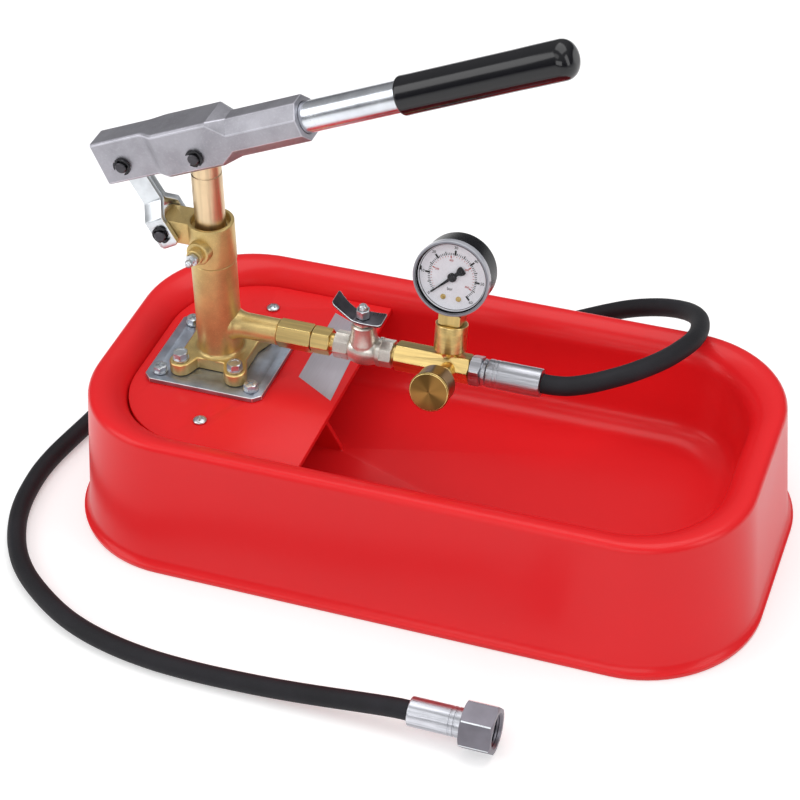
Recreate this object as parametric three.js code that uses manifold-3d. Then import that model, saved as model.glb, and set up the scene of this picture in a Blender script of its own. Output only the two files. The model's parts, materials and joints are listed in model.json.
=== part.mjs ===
// Hand-operated hydrostatic test pump: a plunger pump with a lever, standing in an open water tank.
// Millimetres, +Z up. The origin is the middle of the tank's foot, on the ground.
// +X runs along the tank to the basin end, +Y to the back.
import * as THREE from "three";
import { mergeVertices } from "three/addons/utils/BufferGeometryUtils.js";
import Module from "manifold-3d";

// Clearances that every piece shares
const seatGap = 0.3;
const runningGap = 0.3;
const cutOverrun = 2;

// Counts of facets and the smallest distance between two vertices
const weldDistance = 0.0001;
const fineSides = 18;
const roundSides = 16;
const smallSides = 12;
const tinySides = 8;
const hexSides = 6;
const squareSides = 4;
const cornerSteps = 6;
const curveSteps = 4;
const rimSteps = 5;
const filletSteps = 3;
const edgeSteps = 2;

// Tank: one moulded shell, open underneath, with a basin between rounded rims
const tankLength = 375;
const tankWidth = 197.4;
const tankHeight = 80.3;
const tankCornerRadius = 64;
const cornerShrinkShare = 0.6;
const tankWall = 3;
const lipHeight = 3.4;
const lipFlareHeight = 8;
const lipWidth = 3.2;
const lipFlareShare = 0.33;
const rimSlope = 5;
const rimOuterRadius = 4;
const rimInnerRadius = 14;
const basinDraft = 2.6;
const basinFillet = 14;
const basinFloorHeight = 25;
const webThickness = 3;
const webFootX = -57;
const webTopX = -80;
const webBackX = -99;
const postRadius = 5;
const postBoreRadius = 1.6;
const postBoreDepth = 14;

// What is fitted to the tank keeps its place from the tank's left end
const fittedFromEnd = 187.5;
const fittedX = fittedFromEnd - tankLength / 2;

// Deck: the cover over the left part of the basin, which carries the pump
const deckTop = 70.6;
const deckThickness = 3;
const deckSideGap = 1.2;
const deckEndX = -46;
const deckScrewX = -112;
const deckScrewY = 52;
const deckScrewShank = 1.3;
const deckScrewLength = 12;
const deckScrewHead = 3.6;
const deckScrewHeadHeight = 2;
const deckScrewCrossWidth = 0.9;
const deckScrewCrossLength = 4.4;
const deckScrewCrossDepth = 1;

// Mounting plate and its four bolts
const plateLength = 67;
const plateWidth = 60;
const plateThickness = 2.7;
const plateChamfer = 4;
const plateBoltSpacingX = 52;
const plateBoltSpacingY = 45;
const plateBoltShank = 2;
const plateBoltReach = 6;
const plateBoltFlats = 7;
const plateBoltHeadHeight = 2.8;
const plateBoltWasher = 4.6;
const plateBoltWasherHeight = 0.9;

// Pump barrel: a casting with a flange, a plunger bore and an outlet branch
const pumpX = -121;
const rodRadius = 8;
const barrelRadius = 12;
const barrelTop = 138;
const barrelFillet = 2.6;
const barrelSpigotRadius = 10;
const barrelSpigotHeight = 4;
const boreClearance = 0.5;
const flangeThickness = 7;
const flangeLobeRadius = 6.2;
const flangeLobeSpan = 150;
const flangeWaistShare = 0.62;
const flangeBoltSpacingX = 31;
const flangeBoltSpacingY = 36;
const flangeBoltShank = 2.5;
const flangeBoltFlats = 8;
const flangeBoltHeadHeight = 3.6;
const flangeBoltWasher = 5;
const flangeBoltWasherHeight = 1;
const valveChamberRadius = 4.7;
const valveChamberHeight = 6.5;
const outletRadius = 7;
const outletEndX = -86;
const outletBore = 3.5;
const outletNeckRadius = 8.6;
const outletNeckLength = 5;

// Suction side: the fitting under the flange, the strainer with its riser, and the ball
const suctionFittingRadius = 7;
const suctionFittingRise = 8.5;
const suctionHexFlats = 17;
const suctionHexHeight = 6;
const suctionTailRadius = 4;
const suctionTailLength = 9;
const suctionBore = 2.5;
const riserWall = 1.5;
const strainerRadius = 11;
const strainerHeight = 12;
const strainerWall = 1.5;
const strainerSlots = 6;
const strainerSlotWidth = 3;
const strainerSlotMargin = 2.5;
const suctionBallRadius = 3.6;

// Cylinder head with the recess round the rod, the link lug and the greasing boss
const headRadius = 12.4;
const headHeight = 24;
const headChamfer = 0.8;
const headRecessRadius = 10.3;
const headRecessDepth = 4;
const sealHeight = 4.4;
const lugHalfWidth = 7.75;
const lugEndRadius = 6.6;
const lugPinX = -144;
const lugPinZ = 155.4;
const bossZ = 150;
const bossTurnDegrees = 6;
const bossRadius = 6.4;
const bossReach = 16;
const bossCollarRadius = 4.4;
const bossCollarReach = 19.6;
const nippleFlats = 6;
const nippleHexHeight = 2;
const nippleBallRadius = 2.1;
const nippleNeckRadius = 1.4;
const nippleLength = 7;
const nippleShankRadius = 1.8;

// Plunger rod and the pivot where it meets the lever
const pivotZ = 207;
const rodBottomZ = 124;
const rodTopAbovePivot = 6.4;
const rodChamfer = 1;
const pinRadius = 3;
const pinHoleClearance = 0.3;
const pinGrooveDepth = 0.6;
const pinEndLength = 1.1;
const clipRadius = 4.8;
const clipThickness = 0.9;
const clipLugDepth = 1.1;
const lugClipDegrees = -15;
const rodClipDegrees = 180;
const forkClipDegrees = 135;

// Lever head: one casting, a fork that widens into an octagonal socket
const leverDegrees = 23;
const forkHalfWidth = 8;
const forkEndX = -59;
const forkFlareStartX = -29;
const forkFlareEndX = -18;
const forkTop = 17.6;
const forkBottom = -6.9;
const forkEdgeCut = 1;
const cheekHalfWidth = 12;
const cheekTop = 16.8;
const cheekBottom = -8.4;
const cheekEndX = 14;
const cheekEdgeCut = 1.4;
const shoulderEndX = 25;
const socketFlats = 22;
const socketEndX = 62.5;
const tubeAxisOffset = 2.7;
const forkSlotTop = 13.2;
const linkSlotHalfWidth = 3.6;
const rodSlotStartX = -20;
const rodSlotEndX = 10;
const leverLinkPinX = -45.7;
const leverLinkPinZ = 2.4;

// Handle tube and grip
const tubeRadius = 8;
const tubeWall = 1.8;
const tubeStartX = 24;
const gripStartX = 117;
const gripEndX = 210;
const gripWall = 1.6;
const gripEndRadius = 7;
const gripEndWall = 3.5;

// Link straps between the lever and the lug
const strapThickness = 3;
const strapMiddleGap = 0.3;
const strapTopHalfWidth = 7;
const strapFootHalfWidth = 5.6;
const strapTopOverhang = 7;
const strapFootOverhang = 8.6;
const strapCrankStart = 26.8;
const strapCrankEnd = 33.9;
const strapPinSlotLeft = 0.4;
const strapPinSlotRight = 3.1;
const strapPinSlotUp = 0.9;
const strapCornerCut = 2;

// Delivery line, from the barrel to the valve
const lineZ = 97.4;
const spigotRadius = 5;
const spigotLength = 6;
const lineBore = 2.5;
const adapterFlats = 13;
const checkBodyEndX = -67;
const hexChamfer = 0.7;
const adapterEndX = -57;
const adapterSmallFlats = 12.4;
const checkBallRadius = 3;
const checkSeatBore = 2;
const checkSeatDepth = 2.4;
const checkChamberRadius = 4.2;
const springRadius = 2.7;
const springWire = 0.4;
const springTurns = 4;
const springStepsPerTurn = 6;
const springWireSides = 4;

// Ball valve
const valveStartX = -54;
const valveEndX = -24;
const valveBallX = -38.5;
const valveHexFlats = 14;
const valveHexLength = 8;
const valveWaistRadius = 6.6;
const valveBodyRadius = 8.8;
const valveBodyLength = 15;
const valveBulgeFrom = 150;
const valveBulgeTo = 30;
const valveNutLength = 6.5;
const valveChamberRadiusInside = 6.6;
const valveChamberLength = 14;
const valveBallRadius = 6;
const valveBallBore = 3;
const valveSeatLength = 2.2;
const valveSeatBallRadius = 4.7;
const valveNeckRadius = 5.4;
const valveNeckTop = 13.4;
const valveStemRadius = 2.4;
const valveStemTop = 22.6;
const valveGlandFlats = 9;
const valveGlandHeight = 3;
const handlePlate = 1.5;
const handleWidth = 11.5;
const handleHubLength = 7;
const handleTipLength = 22;
const handleTipRise = 11.5;
const handleShortLength = 11.5;
const handleShortDrop = 2.5;
const handleBendShare = 0.55;
const handleBendRiseShare = 0.45;
const handleDropShare = 0.6;
const handleDropRiseShare = 0.3;
const handleWaistShare = 0.7;
const handleWaistPlaceShare = 0.33;
const handleNutFlats = 7;
const handleNutHeight = 3.4;

// Manifold block, tilted back about the line's axis
const blockStartX = -22;
const blockEndX = 19;
const blockFlats = 14;
const blockTiltDegrees = 15;
const blockChamfer = 1.4;
const blockTurnDegrees = 30;
const gaugeX = 7.8;
const gaugeSocketRadius = 8.2;
const gaugeSocketTop = 22.5;
const gaugeSocketBoreDepth = 9;
const knobX = 9.3;
const knobCollarRadius = 8.8;
const knobCollarReach = 13.5;
const knobSpindleRadius = 3;

// Gauge
const gaugeCentreHeight = 51;
const gaugeNeckFlats = 12;
const gaugeStemReach = 7;
const gaugeFrontReach = 9.5;
const gaugeBackReach = 9;
const gaugeCaseRadius = 19.6;
const gaugeCaseWall = 1.2;
const gaugeBezelRadius = 20.4;
const gaugeBezelDepth = 4.1;
const gaugeBezelLip = 2.2;
const gaugeBezelLipHeight = 1.2;
const gaugeLensHeight = 1.2;
const gaugeDialHeight = 0.8;
const gaugeDialDepth = 5;
const gaugeNeedleHeight = 0.6;
const gaugeNeedleLength = 13;
const gaugeNeedleTail = 5.5;
const gaugeNeedleHub = 2;
const gaugeNeedleWidth = 0.7;
const gaugeNeedleTipShare = 0.33;
const gaugeNeedleTailWidth = 1.7;
const gaugeNeedleShaft = 0.8;
const gaugeNeedleClearance = 1.1;
const gaugeZeroDegrees = 222;
const gaugeCaseEdge = 1.6;

// Vent knob
const knobHeadRadius = 10.3;
const knobHeadThickness = 3.6;
const knobHubRadius = 8.4;
const knobFrontReach = 38;
const knobSpindleEnd = 6;
const knobChamfer = 0.7;

// Hose and the fittings on it
const hoseRadius = 6;
const hoseFlats = 15;
const hoseNutEndX = 25;
const hoseNeckRadius = 6.2;
const ferruleStartX = 30;
const ferruleEndX = 59.6;
const ferruleRadius = 7.5;
const ferruleTubeRadius = 3.4;
const ferruleTubeDepth = 24;
const ferruleCrimpDepth = 0.5;
const ferruleCrimpWidth = 1.6;
const ferruleCrimpPlace = 5.7;
const tailStartX = 41.3;
const tailFerruleLength = 27.4;
const tailY = -162.5;
const swivelFlats = 25;
const swivelLength = 19;
const swivelBoreRadius = 9.6;
const swivelBackWall = 4;
const swivelChamfer = 1.4;
const tailFlangeRadius = 9;
const tailFlangeLength = 3;
const tailNoseLength = 4;
const tailNeckRadius = 5.8;
const tailBore = 3;
const hoseSteps = 44;
const hoseSides = 8;

// The hose's route, chosen by hand: out of its ferrule, over the back rim, round the tank's left end
// and along the ground in front of the tank
const hoseRoute = [
  [59.9, 0, 97.4],
  [63, 0, 97.4],
  [71.5, 1, 97.9],
  [80.5, 3.9, 98.9],
  [88.5, 8.4, 99.7],
  [100.8, 18.6, 100.2],
  [113.2, 36.2, 98.8],
  [121, 57.3, 95.4],
  [122.4, 70, 92.2],
  [121.2, 84, 87.9],
  [117, 98, 83],
  [107.5, 112, 75.6],
  [91, 123.5, 66.4],
  [71, 129, 57],
  [45, 131, 43.5],
  [20, 131, 30],
  [-6, 129.5, 17.5],
  [-32, 128, 9.2],
  [-58, 127.5, 6.6],
  [-85, 127.5, 6.3],
  [-112, 126, 6.3],
  [-138, 120.5, 6.3],
  [-161, 111, 6.3],
  [-179.5, 97, 6.3],
  [-192, 78, 6.3],
  [-198.5, 55, 6.3],
  [-202, 30, 6.3],
  [-214.5, -20, 6.3],
  [-218.4, -43, 6.3],
  [-217, -67, 6.3],
  [-200, -111, 6.3],
  [-168, -144.5, 6.3],
  [-121, -164, 6.3],
  [-67, -170.2, 6.3],
  [-14.5, -167.6, 7.7],
  [11, -164.6, 10.1],
  [24, -163, 11.9],
  [35, -162.5, 12.5],
  [41, -162.5, 12.5],
];

const wasm = await Module();
wasm.setup();

// A solid from a closed geometry: vertices merged, flat triangles dropped, faces turned outwards
function toSolid(geometry) {
  const bare = geometry.index ? geometry.toNonIndexed() : geometry.clone();
  for (const name of Object.keys(bare.attributes)) {
    if (name !== "position") bare.deleteAttribute(name);
  }
  const merged = mergeVertices(bare, weldDistance);
  const corners = merged.index.array;
  const kept = [];
  for (let i = 0; i < corners.length; i += 3) {
    const [a, b, c] = [corners[i], corners[i + 1], corners[i + 2]];
    if (a !== b && b !== c && c !== a) kept.push([a, b, c]);
  }
  const build = (triangles) => {
    const vertProperties = new Float32Array(merged.attributes.position.array);
    const triVerts = new Uint32Array(triangles.flat());
    return new wasm.Manifold(new wasm.Mesh({ numProp: 3, vertProperties, triVerts }));
  };
  const solid = build(kept);
  if (solid.volume() > 0) return solid;
  return build(kept.map(([a, b, c]) => [a, c, b]));
}

function toGeometry(solid) {
  const mesh = solid.getMesh();
  const geometry = new THREE.BufferGeometry();
  geometry.setAttribute("position", new THREE.BufferAttribute(mesh.vertProperties, 3));
  geometry.setIndex(new THREE.BufferAttribute(mesh.triVerts, 1));
  const flat = geometry.toNonIndexed();
  flat.computeVertexNormals();
  return flat;
}

function join(first, ...others) {
  return toGeometry(others.reduce((solid, other) => solid.add(toSolid(other)), toSolid(first)));
}

function cut(first, ...cutters) {
  return toGeometry(cutters.reduce((solid, cutter) => solid.subtract(toSolid(cutter)), toSolid(first)));
}

function common(first, second) {
  return toGeometry(toSolid(first).intersect(toSolid(second)));
}

// A solid of revolution about Z from [radius, height] points, which start and end on the axis
// or go round a closed ring
function turned(profile, sides = roundSides) {
  const points = profile.map(([radius, height]) => new THREE.Vector2(radius, height));
  return new THREE.LatheGeometry(points, sides).rotateX(Math.PI / 2);
}

function rod(radius, bottom, top, sides = roundSides) {
  const profile = [
    [0, bottom],
    [radius, bottom],
    [radius, top],
    [0, top],
  ];
  return turned(profile, sides);
}

function sleeve(outer, inner, bottom, top, sides = roundSides) {
  const profile = [
    [inner, bottom],
    [outer, bottom],
    [outer, top],
    [inner, top],
    [inner, bottom],
  ];
  return turned(profile, sides);
}

// A prism from an outline in XY, a list of points or a drawn shape, from one height to another
function prism(outline, bottom, top) {
  const drawn = outline instanceof THREE.Shape;
  const shape = drawn ? outline : new THREE.Shape(outline.map(([x, y]) => new THREE.Vector2(x, y)));
  const settings = { depth: top - bottom, bevelEnabled: false, curveSegments: curveSteps };
  return new THREE.ExtrudeGeometry(shape, settings).translate(0, 0, bottom);
}

// A prism from an outline in XZ, as wide each way along Y as its half-width
function slab(outline, halfWidth) {
  return prism(outline, -halfWidth, halfWidth).rotateX(Math.PI / 2);
}

function block(lowX, highX, lowY, highY, lowZ, highZ) {
  const box = new THREE.BoxGeometry(highX - lowX, highY - lowY, highZ - lowZ);
  return box.translate((lowX + highX) / 2, (lowY + highY) / 2, (lowZ + highZ) / 2);
}

// A regular prism across its flats, with its end corners turned off
function flatted(flats, bottom, top, chamfer, sides = hexSides) {
  const cornerRadius = flats / 2 / Math.cos(Math.PI / sides);
  const bar = new THREE.CylinderGeometry(cornerRadius, cornerRadius, top - bottom, sides);
  bar.rotateX(Math.PI / 2).translate(0, 0, (top + bottom) / 2);
  if (chamfer === 0) return bar;
  const slope = chamfer * Math.tan(Math.PI / hexSides);
  const turning = [
    [0, bottom],
    [cornerRadius - chamfer, bottom],
    [cornerRadius, bottom + slope],
    [cornerRadius, top - slope],
    [cornerRadius - chamfer, top],
    [0, top],
  ];
  return common(bar, turned(turning, smallSides));
}

function onCircle(centreX, centreY, radius, degrees) {
  const angle = THREE.MathUtils.degToRad(degrees);
  return [centreX + radius * Math.cos(angle), centreY + radius * Math.sin(angle)];
}

// Points along an arc, from one angle to another in degrees
function arc(centreX, centreY, radius, from, to, steps) {
  const points = [];
  for (let i = 0; i <= steps; i += 1) {
    points.push(onCircle(centreX, centreY, radius, from + ((to - from) * i) / steps));
  }
  return points;
}

// The tank's outline at an inset from its foot, counterclockwise from the right front corner
function tankOutline(inset, lastX = Infinity) {
  const halfX = tankLength / 2 - inset;
  const halfY = tankWidth / 2 - inset;
  const radius = tankCornerRadius - inset * cornerShrinkShare;
  const corners = [
    [1, -1, -90],
    [1, 1, 0],
    [-1, 1, 90],
    [-1, -1, 180],
  ];
  const points = [];
  for (const [sideX, sideY, start] of corners) {
    if (sideX > 0 && lastX < halfX) {
      points.push([lastX, sideY * halfY]);
    } else {
      const centreX = sideX * (halfX - radius);
      const centreY = sideY * (halfY - radius);
      points.push(...arc(centreX, centreY, radius, start, start + 90, cornerSteps));
    }
  }
  return points;
}

// A closed skin over rings of equally many points, capped flat at both ends
function loft(rings) {
  const count = rings[0].length;
  const positions = rings.flat(2);
  const indices = [];
  for (let r = 0; r + 1 < rings.length; r += 1) {
    for (let i = 0; i < count; i += 1) {
      const next = (i + 1) % count;
      const [a, b] = [r * count + i, r * count + next];
      indices.push(a, b, b + count, a, b + count, a + count);
    }
  }
  const last = (rings.length - 1) * count;
  for (let i = 1; i + 1 < count; i += 1) {
    indices.push(0, i + 1, i);
    indices.push(last, last + i, last + i + 1);
  }
  const geometry = new THREE.BufferGeometry();
  geometry.setAttribute("position", new THREE.Float32BufferAttribute(positions, 3));
  geometry.setIndex(indices);
  return geometry;
}

const materials = {
  tank: new THREE.MeshStandardMaterial({ color: 0xd3141c, roughness: 0.28, metalness: 0 }),
  brass: new THREE.MeshStandardMaterial({ color: 0xb8893a, roughness: 0.34, metalness: 1 }),
  castBrass: new THREE.MeshStandardMaterial({ color: 0xb98a44, roughness: 0.45, metalness: 1 }),
  zinc: new THREE.MeshStandardMaterial({ color: 0xb4bac0, roughness: 0.3, metalness: 1 }),
  nickel: new THREE.MeshStandardMaterial({ color: 0xb9b4ab, roughness: 0.3, metalness: 1 }),
  castAluminium: new THREE.MeshStandardMaterial({ color: 0x9b9ba1, roughness: 0.5, metalness: 1 }),
  steel: new THREE.MeshStandardMaterial({ color: 0xaeb2b8, roughness: 0.25, metalness: 1 }),
  blackSteel: new THREE.MeshStandardMaterial({ color: 0x141416, roughness: 0.4, metalness: 0.6 }),
  blackVinyl: new THREE.MeshStandardMaterial({ color: 0x0b0c0e, roughness: 0.15, metalness: 0 }),
  blackPlastic: new THREE.MeshStandardMaterial({ color: 0x101114, roughness: 0.3, metalness: 0 }),
  greyPlastic: new THREE.MeshStandardMaterial({ color: 0x9aa0a8, roughness: 0.3, metalness: 0.4 }),
  whiteDial: new THREE.MeshStandardMaterial({ color: 0xe9eaec, roughness: 0.5, metalness: 0 }),
  clear: new THREE.MeshStandardMaterial({ color: 0xf4f7fa, roughness: 0.05, transparent: true }),
  rubber: new THREE.MeshStandardMaterial({ color: 0x2b2c2e, roughness: 0.8, metalness: 0 }),
  seal: new THREE.MeshStandardMaterial({ color: 0xe6e2d8, roughness: 0.5, metalness: 0 }),
};

materials.clear.opacity = 0.3;

const testPump = new THREE.Group();

function add(parent, name, geometry, material) {
  const mesh = new THREE.Mesh(geometry, material);
  mesh.name = name;
  parent.add(mesh);
  return mesh;
}

function frameAt(parent, x, y, z) {
  const frame = new THREE.Group();
  frame.position.set(x, y, z);
  parent.add(frame);
  return frame;
}

// Tank and deck

const deckBottom = deckTop - deckThickness;
const rimInset = lipWidth + rimSlope;
const crestInset = rimInset + rimOuterRadius;
const basinInset = crestInset + rimInnerRadius;
const floorInset = basinInset + basinDraft + basinFillet;

function tankShell() {
  const filletZ = basinFloorHeight + basinFillet;
  const innerZ = tankHeight - rimInnerRadius;
  const outerZ = tankHeight - rimOuterRadius;
  const profile = [
    ...arc(floorInset, filletZ, basinFillet, 270, 180, filletSteps),
    ...arc(crestInset, innerZ, rimInnerRadius, 0, 90, rimSteps),
    ...arc(crestInset, outerZ, rimOuterRadius, 90, 180, filletSteps).slice(1),
    [lipWidth, lipFlareHeight],
    [lipWidth * lipFlareShare, (lipHeight + lipFlareHeight) / 2],
    [0, lipHeight],
    [0, 0],
    [tankWall, 0],
    [tankWall, lipHeight - tankWall / 2],
    [lipWidth + tankWall, lipFlareHeight],
    ...arc(crestInset, outerZ, rimOuterRadius - tankWall, 180, 90, edgeSteps),
    ...arc(crestInset, innerZ, rimInnerRadius - tankWall, 90, 0, filletSteps).slice(1),
    ...arc(floorInset, filletZ, basinFillet + tankWall, 180, 270, edgeSteps),
  ];
  const rings = profile.map(([inset, z]) => tankOutline(inset).map(([x, y]) => [x, y, z]));
  const underDeck = deckBottom - seatGap;
  const sunk = basinFloorHeight - tankWall / 2;
  const web = slab(
    [
      [webFootX, sunk],
      [webFootX, basinFloorHeight],
      [webTopX, underDeck],
      [webBackX, underDeck],
      [webBackX, sunk],
    ],
    webThickness / 2,
  );
  web.translate(fittedX, 0, 0);
  const posts = [-1, 1].map((side) => {
    const bore = rod(postBoreRadius, underDeck - postBoreDepth, underDeck + cutOverrun, smallSides);
    const post = cut(rod(postRadius, sunk, underDeck, smallSides), bore);
    return post.translate(fittedX + deckScrewX, side * deckScrewY, 0);
  });
  return join(loft(rings), web, ...posts);
}

const plateBottom = deckTop + seatGap;
const plateTop = plateBottom + plateThickness;
const flangeBottom = plateTop + seatGap;
const flangeTop = flangeBottom + flangeThickness;
const screwSeat = deckTop + seatGap;

function fourCorners(spacingX, spacingY) {
  return [
    ["front_left", -spacingX / 2, -spacingY / 2],
    ["front_right", spacingX / 2, -spacingY / 2],
    ["rear_right", spacingX / 2, spacingY / 2],
    ["rear_left", -spacingX / 2, spacingY / 2],
  ];
}

function deckPlate() {
  const plate = prism(tankOutline(basinInset + deckSideGap, fittedX + deckEndX), deckBottom, deckTop);
  const low = deckBottom - cutOverrun;
  const high = deckTop + cutOverrun;
  const suctionHole = rod(suctionFittingRadius + seatGap, low, high, smallSides);
  const boltHoles = fourCorners(plateBoltSpacingX, plateBoltSpacingY).map(([, x, y]) =>
    rod(plateBoltShank + seatGap, low, high, tinySides).translate(fittedX + pumpX + x, y, 0),
  );
  const screwHoles = [-1, 1].map((side) =>
    rod(deckScrewShank + seatGap, low, high, tinySides).translate(fittedX + deckScrewX, side * deckScrewY, 0),
  );
  return cut(plate, suctionHole.translate(fittedX + pumpX, 0, 0), ...boltHoles, ...screwHoles);
}

// A pan-head screw with a cross recess, its seat at zero height
function deckScrew() {
  const crown = deckScrewHeadHeight / 2;
  const head = turned(
    [
      [0, -deckScrewLength],
      [deckScrewShank, -deckScrewLength],
      [deckScrewShank, 0],
      [deckScrewHead, 0],
      [deckScrewHead, crown],
      [deckScrewHead - crown, deckScrewHeadHeight],
      [0, deckScrewHeadHeight],
    ],
    smallSides,
  );
  const half = deckScrewCrossLength / 2;
  const thin = deckScrewCrossWidth / 2;
  const low = deckScrewHeadHeight - deckScrewCrossDepth;
  const high = deckScrewHeadHeight + cutOverrun;
  return cut(head, block(-half, half, -thin, thin, low, high), block(-thin, thin, -half, half, low, high));
}

// A hexagon bolt with its washer, its seat at zero height
function hexBolt(flats, headHeight, washer, washerHeight, shank, reach) {
  const stem = turned(
    [
      [0, -reach],
      [shank, -reach],
      [shank, 0],
      [washer, 0],
      [washer, washerHeight],
      [0, washerHeight],
    ],
    smallSides,
  );
  const overlap = washerHeight / 2;
  return join(stem, flatted(flats, overlap, washerHeight + headHeight, 0));
}

function mountingPlate() {
  const halfX = plateLength / 2;
  const halfY = plateWidth / 2;
  const outline = [
    [-halfX + plateChamfer, -halfY],
    [halfX - plateChamfer, -halfY],
    [halfX, -halfY + plateChamfer],
    [halfX, halfY - plateChamfer],
    [halfX - plateChamfer, halfY],
    [-halfX + plateChamfer, halfY],
    [-halfX, halfY - plateChamfer],
    [-halfX, -halfY + plateChamfer],
  ];
  const low = plateBottom - cutOverrun;
  const high = plateTop + cutOverrun;
  const plateHoles = fourCorners(plateBoltSpacingX, plateBoltSpacingY).map(([, x, y]) =>
    rod(plateBoltShank + seatGap, low, high, tinySides).translate(x, y, 0),
  );
  const flangeHoles = fourCorners(flangeBoltSpacingX, flangeBoltSpacingY).map(([, x, y]) =>
    rod(flangeBoltShank + seatGap, low, high, tinySides).translate(x, y, 0),
  );
  const middle = rod(suctionFittingRadius + seatGap, low, high, smallSides);
  return cut(prism(outline, plateBottom, plateTop), middle, ...plateHoles, ...flangeHoles);
}

add(testPump, "tank_shell", tankShell(), materials.tank);
add(testPump, "deck_plate", deckPlate(), materials.tank);
for (const [name, side] of [
  ["front", -1],
  ["rear", 1],
]) {
  const screw = add(testPump, `deck_screw_${name}`, deckScrew(), materials.steel);
  screw.position.set(fittedX + deckScrewX, side * deckScrewY, screwSeat);
}

// Pump: everything on the plunger's axis

const fitted = frameAt(testPump, fittedX, 0, 0);
const pump = frameAt(fitted, pumpX, 0, 0);

// The flange: a lobe round each bolt, joined by sides drawn in at their middles
function flange() {
  const waistX = (flangeBoltSpacingX / 2 + flangeLobeRadius) * flangeWaistShare;
  const waistY = (flangeBoltSpacingY / 2 + flangeLobeRadius) * flangeWaistShare;
  const waists = [
    [0, -waistY],
    [waistX, 0],
    [0, waistY],
    [-waistX, 0],
  ];
  const lobes = fourCorners(flangeBoltSpacingX, flangeBoltSpacingY).map(([, x, y], index) => {
    const start = 90 * index - 135 - flangeLobeSpan / 2;
    return { x, y, start, first: onCircle(x, y, flangeLobeRadius, start) };
  });
  const shape = new THREE.Shape();
  shape.moveTo(...lobes[0].first);
  for (const [index, { x, y, start }] of lobes.entries()) {
    const from = THREE.MathUtils.degToRad(start);
    const to = THREE.MathUtils.degToRad(start + flangeLobeSpan);
    shape.absarc(x, y, flangeLobeRadius, from, to, false);
    const next = lobes[(index + 1) % lobes.length];
    shape.quadraticCurveTo(...waists[index], ...next.first);
  }
  return prism(shape, flangeBottom, flangeTop);
}

const chamberBottom = flangeBottom + suctionFittingRise + seatGap;
const chamberTop = chamberBottom + valveChamberHeight;

function pumpBarrel() {
  const column = turned(
    [
      [0, flangeBottom + seatGap],
      [barrelRadius, flangeBottom + seatGap],
      [barrelRadius + barrelFillet, flangeTop - seatGap],
      ...arc(barrelRadius + barrelFillet, flangeTop + barrelFillet, barrelFillet, 270, 180, filletSteps),
      [barrelRadius, barrelTop],
      [barrelSpigotRadius, barrelTop],
      [barrelSpigotRadius, barrelTop + barrelSpigotHeight],
      [0, barrelTop + barrelSpigotHeight],
    ],
    fineSides,
  );
  const branchLength = outletEndX - pumpX;
  const neckEnd = barrelRadius + outletNeckLength;
  const branch = turned([
    [0, 0],
    [outletNeckRadius, 0],
    [outletNeckRadius, barrelRadius - cutOverrun / 2],
    [outletRadius, neckEnd],
    [outletRadius, branchLength],
    [0, branchLength],
  ]);
  branch.rotateY(Math.PI / 2).translate(0, 0, lineZ);
  const socketStart = branchLength - spigotLength - seatGap;
  const spigotHole = rod(spigotRadius + seatGap, socketStart, branchLength + cutOverrun, smallSides);
  spigotHole.rotateY(Math.PI / 2).translate(0, 0, lineZ);
  const outlet = rod(outletBore, 0, branchLength, tinySides).rotateY(Math.PI / 2).translate(0, 0, lineZ);
  const boreTop = barrelTop + barrelSpigotHeight + cutOverrun;
  const bore = rod(rodRadius + boreClearance, chamberTop, boreTop, smallSides);
  const chamberLow = chamberBottom - cutOverrun / 2;
  const chamber = rod(valveChamberRadius, chamberLow, chamberTop + cutOverrun, smallSides);
  const thread = rod(suctionFittingRadius + seatGap, flangeBottom - cutOverrun, chamberBottom, smallSides);
  const [holeLow, holeHigh] = [flangeBottom - cutOverrun, flangeTop + cutOverrun];
  const holes = fourCorners(flangeBoltSpacingX, flangeBoltSpacingY).map(([, x, y]) =>
    rod(flangeBoltShank + seatGap, holeLow, holeHigh, tinySides).translate(x, y, 0),
  );
  return cut(join(flange(), column, branch), bore, chamber, thread, outlet, spigotHole, ...holes);
}

// Suction fitting, screwed up through the deck into the barrel, with the ball's seat on top
const fittingTop = flangeBottom + suctionFittingRise;
const hexTop = deckBottom - seatGap;
const hexBottom = hexTop - suctionHexHeight;

function suctionFitting() {
  const tailBottom = hexBottom - suctionTailLength;
  const body = turned(
    [
      [0, tailBottom],
      [suctionTailRadius, tailBottom],
      [suctionTailRadius, hexBottom],
      [suctionFittingRadius, hexBottom],
      [suctionFittingRadius, fittingTop],
      [0, fittingTop],
    ],
    smallSides,
  );
  const bore = rod(suctionBore, tailBottom - cutOverrun, fittingTop + cutOverrun, tinySides);
  return cut(join(body, flatted(suctionHexFlats, hexBottom, hexTop, hexChamfer)), bore);
}

// Strainer: a slotted cup on the basin floor, with a riser that slips over the fitting's tail
function strainer() {
  const riserInner = suctionTailRadius + seatGap;
  const riserOuter = riserInner + riserWall;
  const riserTop = hexBottom - seatGap;
  const bottom = basinFloorHeight + seatGap;
  const top = bottom + strainerHeight;
  const body = turned(
    [
      [0, bottom],
      [strainerRadius, bottom],
      [strainerRadius, top - strainerWall],
      [riserOuter, top + strainerWall],
      [riserOuter, riserTop],
      [riserInner, riserTop],
      [riserInner, top - strainerWall],
      [strainerRadius - strainerWall, top - strainerWall],
      [strainerRadius - strainerWall, bottom + strainerWall],
      [0, bottom + strainerWall],
    ],
    smallSides,
  );
  const low = bottom + strainerSlotMargin;
  const high = top - strainerSlotMargin;
  const half = strainerSlotWidth / 2;
  const slots = [];
  for (let i = 0; i < strainerSlots; i += 2) {
    const slot = block(-strainerRadius - cutOverrun, strainerRadius + cutOverrun, -half, half, low, high);
    slots.push(slot.rotateZ((i * Math.PI) / strainerSlots));
  }
  return cut(body, ...slots);
}

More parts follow.
